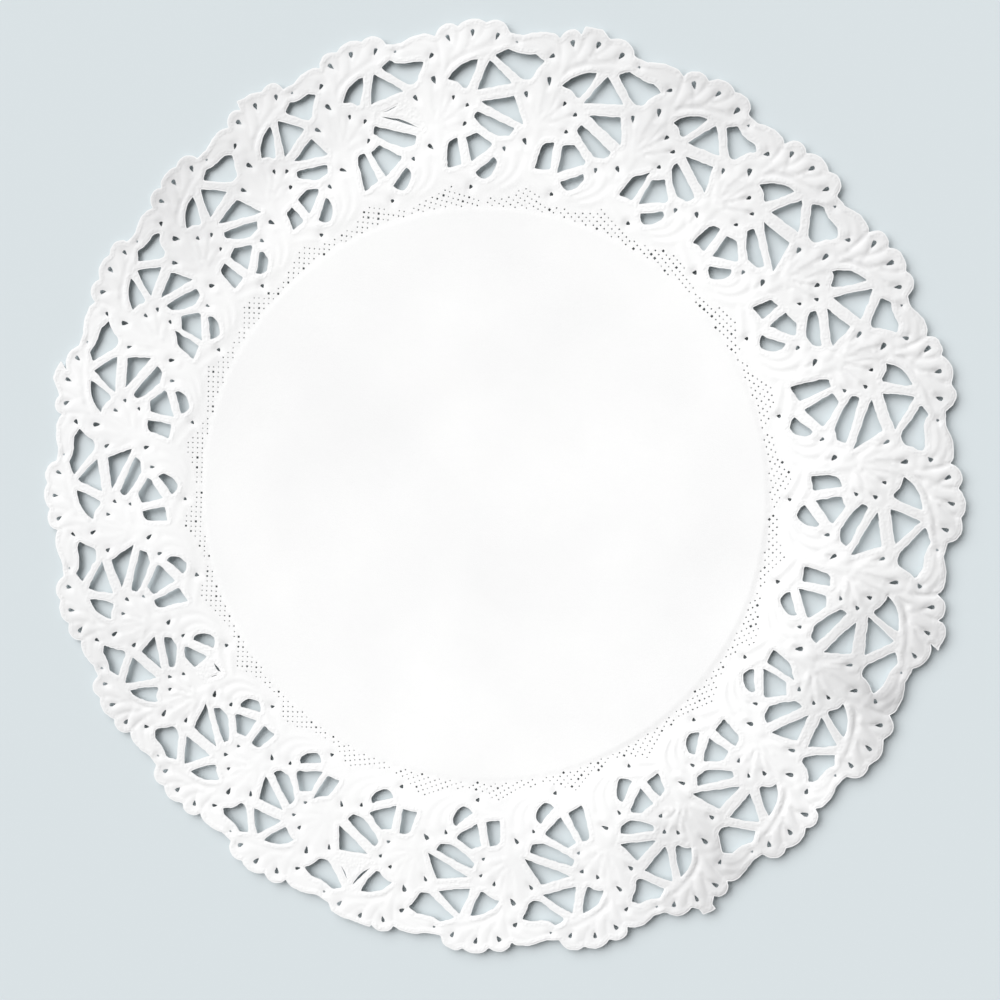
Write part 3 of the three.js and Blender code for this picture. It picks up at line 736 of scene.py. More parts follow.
@dataclass(frozen=True)
class Embossing:
    """The height of the sheet's upper side, from the press, the cutting edges and how it lies.

    What ends in from or to is a distance from the middle, and its fade is how long the change takes.
    The relief is lower at a cut edge, and rises to its full height over the edge's reach.
    """

    chart: LaceChart
    relief: float = 0.78
    fullness: float = 0.9
    edge_relief: float = 0.78
    edge_rise: float = 0.22
    edge_reach: float = 1.8
    lace_from: float = 80.0
    lace_fade: float = 4.0
    rim_bead: float = 0.03
    bead_at: tuple[float, ...] = (0.6, 1.15, 1.5, 2.0)
    bead_shares: tuple[float, ...] = (1.0, 0.0, -1.0, 0.0)
    crater: float = 0.32
    crater_least: float = 0.5
    crater_reach: float = 1.6
    crater_flare: float = 1.3
    crater_fall: float = 1.5
    blotch: float = 9.0
    force_blotch: float = 0.15
    # Painted shade: how its greying varies from blotch to blotch, and how it grows with the distance from the
    # middle
    painted_shade_blotch: float = 0.2
    painted_shade_from: tuple[float, ...] = (88.0, 106.0, 124.0)
    painted_shade_shares: tuple[float, ...] = (0.0, 0.6, 1.0)
    lie: float = 0.12
    lie_waves: tuple[float, float] = (34.0, 15.0)
    lie_second: float = 0.6
    net_sink: float = 0.12
    net_from: float = 77.8
    net_from_fade: float = 0.7
    net_to: float = 81.0
    net_to_fade: float = 4.0
    lowest: float = 0.2

    def _stroke_heights(self, deg: np.ndarray, mm: np.ndarray) -> tuple[np.ndarray, np.ndarray]:
        """Gives the height of the cushions and the depth of the creases and veins.

        Args:
            deg: Degrees of the places in the plain repeats.
            mm: Their distances from the middle.

        Returns:
            Rise of the cushions, and depth of the creases, both from nothing up.
        """
        own = (deg - FIRST_DEG) % REPEAT_DEG + FIRST_DEG
        rises, creases = np.zeros(len(deg)), np.zeros(len(deg))
        for turned in (-REPEAT_DEG, 0.0, REPEAT_DEG):
            spots = on_sheet(own + turned, mm)
            for stroke in CUSHIONS:
                off, _ = self._reach(spots, stroke)
                rise = stroke.depth * np.clip(1.0 - off * off, 0.0, 1.0) ** self.fullness
                np.maximum(rises, rise, out=rises)
            for stroke in (*CREASES, *veins()):
                off, share = self._reach(spots, stroke)
                np.maximum(creases, stroke.depth * share * np.clip(1.0 - off, 0.0, 1.0), out=creases)
        return rises, creases

    def _reach(self, spots: np.ndarray, stroke: Stroke) -> tuple[np.ndarray, np.ndarray]:
        """Gives how far off a stroke's line places are, and how wide the stroke is beside them.

        Args:
            spots: Places in the plain repeat.
            stroke: The stroke.

        Returns:
            Distances as shares of the half width there, and that width as a share of the widest.
        """
        rows = np.array(stroke.rows)
        line, widths = on_sheet(rows[:, 0], rows[:, 1]), rows[:, 2]
        best, width = np.full(len(spots), np.inf), np.zeros(len(spots))
        for start, end, first, last in zip(line[:-1], line[1:], widths[:-1], widths[1:]):
            chord = end - start
            share = np.clip((spots - start) @ chord / (chord @ chord), 0.0, 1.0)
            away = spots - start - share[:, None] * chord
            here = first + (last - first) * share
            off = np.hypot(away[:, 0], away[:, 1]) / here
            nearer = off < best
            best[nearer], width[nearer] = off[nearer], here[nearer]
        return best, width / widths.max()

    def _around(
        self, points: np.ndarray, degs: tuple[float, ...], values: tuple[float, ...], uneven: float,
    ) -> np.ndarray:
        """Reads a table that runs around the sheet.

        Args:
            points: Places on the sheet.
            degs: The table's angles.
            values: Its value at each angle.
            uneven: How much the value varies from blotch to blotch, as a share.

        Returns:
            The value at each place.
        """
        deg, _ = polar(points)
        blotches = 1.0 + uneven * soft_noise(points, self.blotch, PRESS_SEED)
        return np.interp(deg % 360, degs, values) * blotches

    def force(self, points: np.ndarray) -> np.ndarray:
        """Tells how hard the press struck at each place."""
        return self._around(points, PRESS_DEG, PRESS_FORCE, self.force_blotch)

    def painted_shade(self, points: np.ndarray) -> np.ndarray:
        """Tells how far the paper's colour is greyed as painted shade at each place, with none of it near the
        plain centre.
        """
        _, mm = polar(points)
        outwards = np.interp(mm, self.painted_shade_from, self.painted_shade_shares)
        return self._around(points, PAINTED_SHADE_DEG, PAINTED_SHADE_SHARE, self.painted_shade_blotch) * outwards

    def _swell(self, points: np.ndarray) -> np.ndarray:
        """Gives how much higher or lower the sheet lies at its swells."""
        around, mm = polar(points)
        height = np.zeros(len(points))
        for deg, deg_spread, middle, mm_spread, rise in SWELLS:
            aside = (around - deg + 180) % 360 - 180
            height += rise * np.exp(-0.5 * ((aside / deg_spread) ** 2 + ((mm - middle) / mm_spread) ** 2))
        return height

    def _lying(self, points: np.ndarray) -> np.ndarray:
        """Gives the slight waves in which the sheet lies."""
        first, second = (soft_noise(points, wave, seed) for wave, seed in zip(self.lie_waves, LIE_SEEDS))
        return self.lie * (first + self.lie_second * second)

    def heights(
        self, points: np.ndarray, edge: np.ndarray, rim: np.ndarray, pinhole: np.ndarray,
    ) -> np.ndarray:
        """Gives the height of the upper side over the ground, in millimetres.

        Args:
            points: Places on the sheet.
            edge: How far each is from the nearest cut edge of the rim or a gap.
            rim: How far each is from the rim alone.
            pinhole: How far each is from the nearest pinhole.

        Returns:
            One height for each place.
        """
        deg, mm = self.chart.plain(points)
        rises, creases = self._stroke_heights(deg, mm)
        pressed = self.force(points)
        held_down = self.edge_relief + self.edge_rise * smooth_step(edge / self.edge_reach)
        in_lace = smooth_step((mm - self.lace_from) / self.lace_fade)
        past_net = smooth_step((mm - self.net_to) / self.net_to_fade)
        in_net = smooth_step((mm - self.net_from) / self.net_from_fade) * (1.0 - past_net)
        dent = np.clip(1.0 - (pinhole / self.crater_reach) ** self.crater_flare, 0.0, 1.0) ** self.crater_fall
        crater = self.crater_least + (1.0 - self.crater_least) * np.minimum(pressed, 1.0)
        height = np.interp(mm, GROUND_MM, GROUND_UP)
        height = height + pressed * (held_down * self.relief * rises - creases) * in_lace
        height += self.rim_bead * np.interp(rim, self.bead_at, self.bead_shares)
        height += self._lying(points) + self._swell(points) - self.net_sink * pressed * in_net
        height -= self.crater * crater * dent
        return np.maximum(height, self.lowest)


@dataclass
class DoilySheet:
    """The one sheet of pressed and cut paper, as a closed mesh with a fine upper side.

    A step is how far apart the mesh's points are, and a room is what they keep to cuts, holes or each
    other. The rooms of the two rows beside the cuts are shares of the rows' offsets. What ends in mm is
    a distance from the middle. Where the paper is thinner than its thin share of the thickness, it is
    brought up to the mended share.
    """

    chart: LaceChart = field(default_factory=LaceChart)
    net: PunchedNet = field(default_factory=PunchedNet)
    thickness: float = 0.16
    row_offsets: tuple[float, float] = (0.40, 0.88)
    fine_step: float = 0.72
    crease_step: float = 0.6
    under_step: float = 2.1
    centre_step: float = 4.6
    centre_mm: float = 75.3
    brim_rings: tuple[tuple[float, float], ...] = ((76.9, 0.31), (77.7, 0.0), (78.35, 0.31))
    brim_step_deg: float = 0.62
    lace_mm: float = 78.9
    outer_mm: float = 129.0
    row_room: tuple[float, float] = (0.86, 0.9)
    lip_offsets: tuple[float, float] = (0.5, 1.0)
    cut_room: float = 0.36
    grid_room: float = 0.5
    hole_room: float = 0.3
    point_room: float = 0.43
    under_centre_mm: float = 79.0
    under_lace_mm: float = 79.5
    under_cut_room: float = 0.6
    under_point_room: float = 0.9
    under_search: float = 0.8
    under_rounds: int = 6
    thin_share: float = 0.7
    mended_share: float = 0.8
    mark_reach: float = 9.0

    outlines: list[Outline] = field(default_factory=list, init=False)
    crossings: np.ndarray = field(default_factory=lambda: np.zeros((0, 2)), init=False)
    scored: list[np.ndarray] = field(default_factory=list, init=False)

    def cut(self) -> None:
        """Lays out every outline of the sheet: rim, gaps, slits, pinholes and net."""
        self.outlines = [Outline(Cut.RIM, facing(self.chart.rim(), True))]
        for repeat in range(REPEATS):
            for name in GAPS:
                slits = UNPUNCHED.get((repeat, name))
                ring = self.chart.gap(name, repeat)
                if slits is None:
                    self._add(Cut.GAP, ring)
                    continue
                self.scored.append(ring)
                for edge, start, end, width in slits:
                    self._add(Cut.SLIT, self.chart.slit(name, repeat, edge, (start, end), width))
            for ring in self.chart.pinholes(repeat):
                self._add(Cut.PINHOLE, ring)
        crossings = []
        for number in range(REPEATS):
            rings, spots = self.net.holes(number)
            crossings.append(spots)
            for ring in rings:
                self._add(Cut.NET_HOLE, ring)
        self.crossings = np.concatenate(crossings)

    def _add(self, kind: Cut, ring: np.ndarray) -> None:
        """Keeps the outline of a hole in the paper."""
        self.outlines.append(Outline(kind, facing(ring, False)))

    def _rings(self, *kinds: Cut) -> list[np.ndarray]:
        """Gives the closed lines of some kinds."""
        return [outline.points for outline in self.outlines if outline.cut in kinds]

    def _in_paper(self, points: np.ndarray) -> np.ndarray:
        """Keeps the places that lie in paper, off every hole."""
        keep = inside(points, self.outlines[0].points)
        for outline in self.outlines[1:]:
            low, high = outline.points.min(axis=0), outline.points.max(axis=0)
            near = np.flatnonzero(keep & np.all((points > low) & (points < high), axis=1))
            if len(near):
                keep[near[inside(points[near], outline.points)]] = False
        return points[keep]

    def _nearest(self) -> dict[str, Nearest]:
        """Prepares what measures the distance to cuts, rim, pinholes and fine holes."""
        # What each measures to, and how close the points are that fill those lines
        clouds = {
            "cut": ([*self._rings(Cut.RIM, Cut.GAP, Cut.SLIT), *self.scored], 0.12),
            "rim": (self._rings(Cut.RIM), 0.12),
            "pinhole": (self._rings(Cut.PINHOLE), 0.1),
            "hole": (self._rings(Cut.PINHOLE, Cut.NET_HOLE), 0.2),
        }
        return {
            name: Nearest(np.concatenate([dense(ring, step) for ring in rings]))
            for name, (rings, step) in clouds.items()
        }

    def _crease_points(self, stroke: Stroke) -> np.ndarray:
        """Gives points along a crease in every repeat: its bottom, then both its shoulders."""
        rows = np.array(stroke.rows)
        line = on_sheet(rows[:, 0], rows[:, 1])
        run = np.concatenate([[0.0], np.cumsum(np.linalg.norm(np.diff(line, axis=0), axis=1))])
        steps = np.linspace(0.0, run[-1], max(2, round(run[-1] / self.crease_step)) + 1)
        fine = np.stack([np.interp(steps, run, rows[:, column]) for column in range(3)], axis=-1)
        bottoms, shoulders = [], []
        for repeat in range(REPEATS):
            middle = self.chart.place(fine[:, :2], repeat)
            along = np.gradient(middle, axis=0)
            along /= np.linalg.norm(along, axis=1)[:, None]
            aside = np.stack([-along[:, 1], along[:, 0]], axis=-1) * fine[:, 2:]
            bottoms.append(middle)
            shoulders += [middle + aside, middle - aside]
        return np.concatenate([*bottoms, *shoulders])

    def _upper_points(self, cuts: Nearest, holes: Nearest) -> np.ndarray:
        """Chooses the loose points of the upper side.

        Args:
            cuts: Measures the distance to rim, gaps and slits.
            holes: Measures the distance to pinholes and net holes.

        Returns:
            The places, none of them on an outline.
        """
        rows = []
        for offset, room in zip(self.row_offsets, self.row_room):
            row = [beside(ring, offset) for ring in self._rings(Cut.RIM, Cut.GAP, Cut.SLIT)]
            rows.append(clear_of(cuts, np.concatenate(row), offset * room))
        lips = [beside(ring, offset) for offset in self.lip_offsets for ring in self._rings(Cut.PINHOLE)]
        lips = clear_of(cuts, np.concatenate(lips), self.cut_room)
        creases = [self._crease_points(stroke) for stroke in (*CREASES, *veins())]
        creases = clear_of(cuts, np.concatenate(creases), self.cut_room)
        around = np.arange(0, 360, self.brim_step_deg)
        brim = [on_sheet(around + turn, np.full(len(around), mm)) for mm, turn in self.brim_rings]
        grid = clear_of(cuts, hex_grid(self.fine_step, self.lace_mm, self.outer_mm), self.grid_room)
        centre = hex_grid(self.centre_step, -1.0, self.centre_mm)
        spots = [rows[0], self.crossings, *brim, creases, lips, rows[1], centre, grid]
        loose = self._in_paper(thin_out(np.concatenate(spots), self.point_room))
        return clear_of(holes, loose, self.hole_room)

    def _fill(self, loose: np.ndarray) -> tuple[np.ndarray, np.ndarray]:
        """Spans triangles between all outlines through loose points.

        Args:
            loose: The loose points.

        Returns:
            All points, those of the outlines first, and rows of three point numbers that run
            anticlockwise from above.
        """
        rings = [outline.points for outline in self.outlines]
        points = np.concatenate([*rings, loose])
        owner = np.full(len(points), -1)
        sides: list[tuple[int, int]] = []
        start = 0
        for number, ring in enumerate(rings):
            count = len(ring)
            owner[start:start + count] = number
            sides += [(start + i, start + (i + 1) % count) for i in range(count)]
            start += count
        corners = [Vector(point) for point in points.tolist()]
        made = delaunay_2d_cdt(corners, sides, [], 0, MERGE_MM)
        if len(made[0]) != len(points):
            raise ValueError(f"outlines cross or meet: {len(points)} points became {len(made[0])}")
        source = np.array([origin[0] for origin in made[3]])
        faces = source[np.array(made[2])]
        own = owner[faces]
        alone = (own[:, 0] >= 0) & (own[:, 0] == own[:, 1]) & (own[:, 0] == own[:, 2])
        middles = points[faces].mean(axis=1)
        drop = np.zeros(len(faces), dtype=bool)
        for number in np.unique(own[alone, 0]):
            mine = np.flatnonzero(alone & (own[:, 0] == number))
            within = inside(middles[mine], rings[number])
            drop[mine] = ~within if number == 0 else within
        faces = faces[~drop]
        a, b, c = points[faces[:, 0]], points[faces[:, 1]], points[faces[:, 2]]
        turned = (b[:, 0] - a[:, 0]) * (c[:, 1] - a[:, 1]) - (b[:, 1] - a[:, 1]) * (c[:, 0] - a[:, 0]) < 0
        faces[turned] = faces[turned][:, ::-1]
        return points, faces

    def _clear_paper(
        self, under: np.ndarray, faces: np.ndarray, top: np.ndarray, start: np.ndarray,
    ) -> np.ndarray:
        """Lowers the underside until the paper is nowhere too thin.

        Args:
            under: Places of the underside.
            faces: Its triangles.
            top: Points of the upper side with their heights.
            start: First heights of the underside.

        Returns:
            Its heights.
        """
        low = start.copy()
        for _ in range(self.under_rounds):
            solid = np.column_stack([under, low])
            tree = BVHTree.FromPolygons(solid.tolist(), faces.tolist())
            lack = np.zeros(len(low))
            for x, y, z in top.tolist():
                spot, _, index, _ = tree.ray_cast((x, y, FAR_BELOW), (0.0, 0.0, 1.0))
                if spot is not None and spot.z > z - self.thickness * self.thin_share:
                    corners = faces[index]
                    lack[corners] = np.maximum(lack[corners], spot.z - z + self.thickness * self.mended_share)
            if not lack.any():
                break
            low -= lack
        return np.maximum(low, 0.0)

    def _underside(
        self, height: Callable[[np.ndarray], np.ndarray], near: dict[str, Nearest], top: np.ndarray,
    ) -> Side:
        """Lays the underside, coarser than the upper side, below the lowest paper around each place.

        Args:
            height: Gives the height of the upper side at places.
            near: Measures the distances to cuts and holes.
            top: Points of the upper side with their heights, those of the outlines first.

        Returns:
            Places, heights and triangles.
        """
        lace = hex_grid(self.under_step, self.under_lace_mm, self.outer_mm)
        centre = hex_grid(self.centre_step, -1.0, self.under_centre_mm)
        loose = clear_of(near["cut"], np.concatenate([lace, centre]), self.under_cut_room)
        loose = self._in_paper(thin_out(loose, self.under_point_room))
        loose = clear_of(near["hole"], loose, self.under_cut_room)
        under, faces = self._fill(loose)
        reach = self.under_search
        turns = np.arange(6) * math.pi / 3
        shifts = [(0.0, 0.0)] + [(reach * math.cos(turn), reach * math.sin(turn)) for turn in turns]
        down = np.minimum.reduce([height(under + shift) for shift in shifts]) - self.thickness
        fixed = len(under) - len(loose)
        down[:fixed] = top[:fixed, 2] - self.thickness
        return under, self._clear_paper(under, faces, top, np.maximum(down, 0.0)), faces

    def build(self, name: str) -> bpy.types.Object:
        """Makes the sheet's mesh.

        Args:
            name: Name of the piece.

        Returns:
            The piece, at the origin.
        """
        self.cut()
        near = self._nearest()
        press = Embossing(self.chart)

        def height(points: np.ndarray) -> np.ndarray:
            """Gives the height of the upper side at places."""
            gaps = (near[kind].gap(points) for kind in ("cut", "rim", "pinhole"))
            return press.heights(points, *gaps)

        upper, upper_faces = self._fill(self._upper_points(near["cut"], near["hole"]))
        threads = {tuple(spot) for spot in self.crossings.tolist()}
        on_thread = np.array([tuple(point) in threads for point in upper.tolist()])
        up = height(upper) + self.net.thread_lift * on_thread
        underside = self._underside(height, near, np.column_stack([upper, up]))
        marks = {
            "edge_mm": (np.minimum(near["cut"].gap(upper), self.mark_reach), self.mark_reach),
            # Painted shade that greys the paper's colour in the lace
            "painted_shade": (press.painted_shade(upper), 0.0),
        }
        return self._mesh(name, (upper, up, upper_faces), underside, marks)

    def _mesh(
        self, name: str, upper: Side, under: Side, marks: dict[str, tuple[np.ndarray, float]],
    ) -> bpy.types.Object:
        """Joins both sides with walls along every outline.

        Args:
            name: Name of the piece.
            upper: Places, heights and triangles of the upper side.
            under: The same of the underside.
            marks: By name, what the paper's finish reads at each upper point, and its value below.

        Returns:
            The piece.
        """
        first = len(upper[0])
        solid = np.concatenate([np.column_stack(upper[:2]), np.column_stack(under[:2])]) * MM
        walls: list[tuple[int, int, int, int]] = []
        lips: list[tuple[int, int]] = []
        start = 0
        for outline in self.outlines:
            count = len(outline.points)
            for i in range(count):
                one, two = start + i, start + (i + 1) % count
                walls.append((first + one, first + two, two, one))
                lips += [(one, two), (first + one, first + two)]
            start += count
        faces = [*upper[2].tolist(), *(under[2][:, ::-1] + first).tolist(), *walls]
        mesh = bpy.data.meshes.new(name)
        mesh.from_pydata(solid.tolist(), [], faces)
        mesh.shade_smooth()
        keys = {tuple(sorted(lip)) for lip in lips}
        ends = np.empty(len(mesh.edges) * 2, dtype=np.int32)
        mesh.edges.foreach_get("vertices", ends)
        pairs = np.sort(ends.reshape(-1, 2), axis=1).tolist()
        sharp = mesh.attributes.new("sharp_edge", "BOOLEAN", "EDGE")
        sharp.data.foreach_set("value", [tuple(pair) in keys for pair in pairs])
        for label, (values, below) in marks.items():
            layer = mesh.attributes.new(label, "FLOAT", "POINT")
            spread = np.full(len(solid), below)
            spread[:first] = values
            layer.data.foreach_set("value", spread)
        mesh.validate()
        piece = bpy.data.objects.new(name, mesh)
        bpy.context.scene.collection.objects.link(piece)
        return piece


def node_group(
    name: str, inputs: dict[str, float | None], outputs: tuple[str, ...],
) -> tuple[bpy.types.NodeTree, bpy.types.Node, bpy.types.Node]:
    """Starts a node group.

    Args:
        name: The group's name.
        inputs: Its inputs with their values. None stands for a place on the object.
        outputs: Its outputs, each a number.

    Returns:
        The group, and the nodes that its inputs come in by and its outputs leave by.
    """
    group = bpy.data.node_groups.new(name, "ShaderNodeTree")
    for label, value in inputs.items():
        kind = "NodeSocketVector" if value is None else "NodeSocketFloat"
        socket = group.interface.new_socket(label, in_out="INPUT", socket_type=kind)
        if value is not None:
            socket.default_value = value
    for label in outputs:
        group.interface.new_socket(label, in_out="OUTPUT", socket_type="NodeSocketFloat")
    return group, group.nodes.new("NodeGroupInput"), group.nodes.new("NodeGroupOutput")


@dataclass(frozen=True)
class Wiring:
    """Adds wired nodes to a node tree."""

    tree: bpy.types.NodeTree

    def add(
        self,
        kind: str,
        wires: dict[str | int, bpy.types.NodeSocket],
        **settings: str | bpy.types.NodeTree,
    ) -> bpy.types.Node:
        """Adds one node.

        Args:
            kind: The node's type.
            wires: For each input, what is wired to it.
            settings: The node's own settings.

        Returns:
            The node.
        """
        node = self.tree.nodes.new(kind)
        for label, value in settings.items():
            setattr(node, label, value)
        for label, source in wires.items():
            self.tree.links.new(source, node.inputs[label])
        return node

    def group(self, made: bpy.types.NodeTree, wires: dict[str, bpy.types.NodeSocket]) -> bpy.types.Node:
        """Adds a finished group, wired up."""
        return self.add("ShaderNodeGroup", wires, node_tree=made)

    def ramp(
        self, source: bpy.types.NodeSocket, low: float, high: float, falls: bool = False, soft: bool = True,
    ) -> bpy.types.NodeSocket:
        """Adds a ramp from nothing to one.

        Args:
            source: What the ramp reads.
            low: Where it starts.
            high: Where it ends.
            falls: Whether it runs down from one to nothing.
            soft: Whether its ends are eased.

        Returns:
            The ramp's result.
        """
        curve = "SMOOTHSTEP" if soft else "LINEAR"
        node = self.add("ShaderNodeMapRange", {"Value": source}, interpolation_type=curve)
        ends = (low, high, 1.0, 0.0) if falls else (low, high, 0.0, 1.0)
        for label, value in zip(("From Min", "From Max", "To Min", "To Max"), ends):
            node.inputs[label].default_value = value
        return node.outputs["Result"]

    def product(self, one: bpy.types.NodeSocket, two: bpy.types.NodeSocket) -> bpy.types.NodeSocket:
        """Multiplies two numbers."""
        return self.add("ShaderNodeMath", {0: one, 1: two}, operation="MULTIPLY").outputs["Value"]


@dataclass(frozen=True)
class PaperFinish:
    """Matt white paper: a fine pulp grain, faint clouds, a stippled border along the cuts, and painted shade
    that greys the lace.
    """

    white: Colour = (0.935, 0.935, 0.933, 1.0)
    shade: Colour = (0.88, 0.88, 0.882, 1.0)
    # Grey colour laid on the lace as painted shade
    painted_shade_colour: Colour = (0.58, 0.58, 0.585, 1.0)
    roughness: float = 0.72
    specular: float = 0.35
    grain_scale: float = 2600.0
    grain_detail: float = 3.0
    grain_roughness: float = 0.65
    grain_share: float = 0.32
    cloud_scale: float = 22.0
    cloud_detail: float = 4.0
    cloud_roughness: float = 0.5
    cloud_ends: tuple[float, float] = (0.35, 0.75)
    stipple_scale: float = 1500.0
    border_starts: tuple[float, float] = (0.25, 0.55)
    border_ends: tuple[float, float] = (1.1, 1.8)
    # Distance from a cut over which the painted shade fades in
    unshaded_edge: tuple[float, float] = (0.0, 0.4)
    bump: float = 0.8
    bump_depth: float = 0.00014

    def _pulp_group(self) -> bpy.types.NodeTree:
        """Builds the node group for pulp: clouds for the colour and grain for the surface."""
        inputs = {"Vector": None, "Grain scale": self.grain_scale, "Cloud scale": self.cloud_scale}
        group, entry, leave = node_group("Paper pulp", inputs, ("Clouds", "Grain"))
        wiring = Wiring(group)
        for name, scale, detail, roughness in (
            ("Clouds", "Cloud scale", self.cloud_detail, self.cloud_roughness),
            ("Grain", "Grain scale", self.grain_detail, self.grain_roughness),
        ):
            wires = {"Vector": entry.outputs["Vector"], "Scale": entry.outputs[scale]}
            noise = wiring.add("ShaderNodeTexNoise", wires)
            noise.inputs["Detail"].default_value = detail
            noise.inputs["Roughness"].default_value = roughness
            group.links.new(noise.outputs["Fac"], leave.inputs[name])
        return group

    def _painted_shade_group(self) -> bpy.types.NodeTree:
        """Builds the node group that tells where painted shade greys the paper, fading out at its cut edges.
        """
        group, entry, leave = node_group("Painted shade mask", {"Distance": 0.0, "Painted shade": 0.0}, ("Mask",))
        wiring = Wiring(group)
        off_edge = wiring.ramp(entry.outputs["Distance"], *self.unshaded_edge)
        group.links.new(wiring.product(entry.outputs["Painted shade"], off_edge), leave.inputs["Mask"])
        return group

    def _border_group(self) -> bpy.types.NodeTree:
        """Builds the node group for the stippled border, from the distance to the nearest cut."""
        inputs = {"Vector": None, "Distance": 0.0, "Dot scale": self.stipple_scale}
        group, entry, leave = node_group("Stippled border", inputs, ("Height",))
        wiring = Wiring(group)
        wires = {"Vector": entry.outputs["Vector"], "Scale": entry.outputs["Dot scale"]}
        dots = wiring.add("ShaderNodeTexVoronoi", wires, feature="SMOOTH_F1")
        starts = wiring.ramp(entry.outputs["Distance"], *self.border_starts)
        ends = wiring.ramp(entry.outputs["Distance"], *self.border_ends, falls=True)
        height = wiring.product(wiring.product(starts, ends), dots.outputs["Distance"])
        group.links.new(height, leave.inputs["Height"])
        return group

    def material(self) -> bpy.types.Material:
        """Builds the paper's material.

        Returns:
            The material.
        """
        paper = bpy.data.materials.new("White doily paper")
        paper.use_nodes = True
        wiring = Wiring(paper.node_tree)
        place = wiring.add("ShaderNodeTexCoord", {}).outputs["Object"]
        marks = {
            label: wiring.add("ShaderNodeAttribute", {}, attribute_name=name).outputs["Fac"]
            for label, name in (("Distance", "edge_mm"), ("Painted shade", "painted_shade"))
        }
        pulp = wiring.group(self._pulp_group(), {"Vector": place})
        # Painted shade: where the paper's colour is mixed towards grey
        painted_shade_node = wiring.group(self._painted_shade_group(), marks)
        border = wiring.group(self._border_group(), {"Vector": place, "Distance": marks["Distance"]})

        clouds = wiring.ramp(pulp.outputs["Clouds"], *self.cloud_ends, soft=False)
        tone = wiring.add("ShaderNodeMix", {}, data_type="RGBA")
        tone.inputs["A"].default_value = self.white
        tone.inputs["B"].default_value = self.shade
        colour = wiring.add("ShaderNodeMix", {}, data_type="RGBA")
        colour.inputs["B"].default_value = self.painted_shade_colour
        reliefs = {0: pulp.outputs["Grain"], 2: border.outputs["Height"]}
        height = wiring.add("ShaderNodeMath", reliefs, operation="MULTIPLY_ADD")
        height.inputs[1].default_value = self.grain_share
        bump = wiring.add("ShaderNodeBump", {"Height": height.outputs["Value"]})
        bump.inputs["Strength"].default_value = self.bump
        bump.inputs["Distance"].default_value = self.bump_depth

        surface = paper.node_tree.nodes["Principled BSDF"]
        surface.inputs["Roughness"].default_value = self.roughness
        surface.inputs["Specular IOR Level"].default_value = self.specular
        for source, target in (
            (clouds, tone.inputs["Factor"]),
            (tone.outputs["Result"], colour.inputs["A"]),
            (painted_shade_node.outputs["Mask"], colour.inputs["Factor"]),
            (colour.outputs["Result"], surface.inputs["Base Color"]),
            (bump.outputs["Normal"], surface.inputs["Normal"]),
        ):
            paper.node_tree.links.new(source, target)
        return paper


@dataclass(frozen=True)
class Doily:
    """The paper doily: one sheet, dressed."""

    name: str = "doily_paper"
    width: float = 0.2539
    paper_area: float = 0.0420
    sheet: DoilySheet = field(default_factory=DoilySheet)
    finish: PaperFinish = field(default_factory=PaperFinish)

    def build(self) -> bpy.types.Object:
        """Returns:
            The piece.
        """
        piece = self.sheet.build(self.name)
        piece.data.materials.append(self.finish.material())
        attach(piece, "root")
        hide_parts("doily")
        return piece


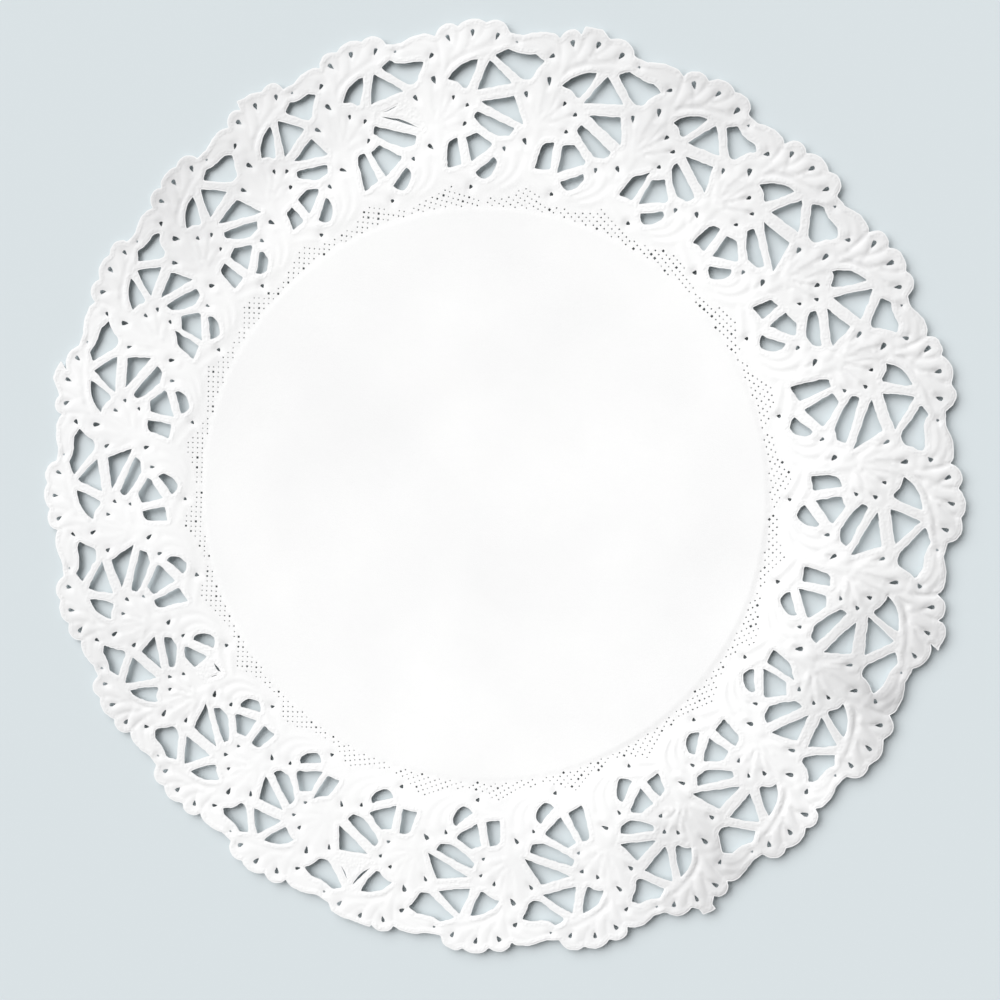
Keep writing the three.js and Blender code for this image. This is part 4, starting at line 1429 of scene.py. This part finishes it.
@dataclass(frozen=True)
class Studio:
    """Pale floor, soft lights from the far left, and the camera at the photograph's angle."""

    floor_side: float = 3.0
    floor_colour: Colour = (0.66, 0.716, 0.738, 1.0)
    floor_roughness: float = 0.9
    floor_specular: float = 0.1
    lights_from_deg: tuple[float, ...] = (281.0, 313.0, 345.0)
    light_up_deg: float = 41.0
    light_spread_deg: float = 48.0
    light_power: float = 1.41
    fill: float = 0.18
    camera_at: tuple[float, float, float] = (0.060783, 0.023926, 0.318525)
    camera_turn: tuple[float, float, float] = (-4.34155, 9.70356, 2.69337)
    lens: float = 42.84
    shift: tuple[float, float] = (-0.00187, 0.01198)
    sensor: float = 36.0
    nearest_seen: float = 0.01

    def build(self) -> bpy.types.Object:
        """Sets up floor, light and camera.

        Returns:
            The floor.
        """
        floor = self._floor()
        self._lights()
        self._camera()
        bpy.context.scene.view_settings.view_transform = "Standard"
        return floor

    def _floor(self) -> bpy.types.Object:
        """Lays the plain pale floor."""
        bpy.ops.object.select_all(action="DESELECT")
        bpy.ops.mesh.primitive_plane_add(size=self.floor_side, location=(0, 0, 0))
        floor = bpy.context.object
        floor.name = "pale_floor"
        paint = bpy.data.materials.new("Pale floor paint")
        paint.use_nodes = True
        surface = paint.node_tree.nodes["Principled BSDF"]
        surface.inputs["Base Color"].default_value = self.floor_colour
        surface.inputs["Roughness"].default_value = self.floor_roughness
        surface.inputs["Specular IOR Level"].default_value = self.floor_specular
        floor.data.materials.append(paint)
        return floor

    def _lights(self) -> None:
        """Hangs the soft lights up on the far left, and lights the room evenly."""
        for number, across_deg in enumerate(self.lights_from_deg, start=1):
            sun = bpy.data.lights.new(f"soft_window_{number}", "SUN")
            sun.energy = self.light_power
            sun.angle = math.radians(self.light_spread_deg)
            lamp = bpy.data.objects.new(f"soft_window_{number}", sun)
            across = math.radians(across_deg)
            up = math.radians(self.light_up_deg)
            level = math.cos(up)
            towards = Vector((math.sin(across) * level, math.cos(across) * level, math.sin(up)))
            lamp.rotation_euler = towards.to_track_quat("Z", "Y").to_euler()
            bpy.context.scene.collection.objects.link(lamp)
        room = bpy.data.worlds.new("even_room")
        room.use_nodes = True
        glow = room.node_tree.nodes["Background"]
        glow.inputs["Color"].default_value = (1.0, 1.0, 1.0, 1.0)
        glow.inputs["Strength"].default_value = self.fill
        bpy.context.scene.world = room

    def _camera(self) -> None:
        """Puts the camera where the photograph was taken from."""
        lens = bpy.data.cameras.new("photo_camera")
        lens.sensor_width = self.sensor
        lens.lens = self.lens
        lens.shift_x, lens.shift_y = self.shift
        lens.clip_start = self.nearest_seen
        camera = bpy.data.objects.new("photo_camera", lens)
        camera.location = self.camera_at
        camera.rotation_euler = [math.radians(turn) for turn in self.camera_turn]
        bpy.context.scene.collection.objects.link(camera)
        bpy.context.scene.camera = camera


def main() -> None:
    """Builds the doily and the studio."""
    logging.basicConfig(level=logging.INFO, format="%(name)s: %(message)s")
    piece = Doily().build()
    mesh = piece.data
    mesh.calc_loop_triangles()
    LOG.info("%s: %d points, %d triangles", piece.name, len(mesh.vertices), len(mesh.loop_triangles))
    floor = Studio().build()
    LOG.info("%s laid, light and camera set", floor.name)


if __name__ == "__main__":
    main()
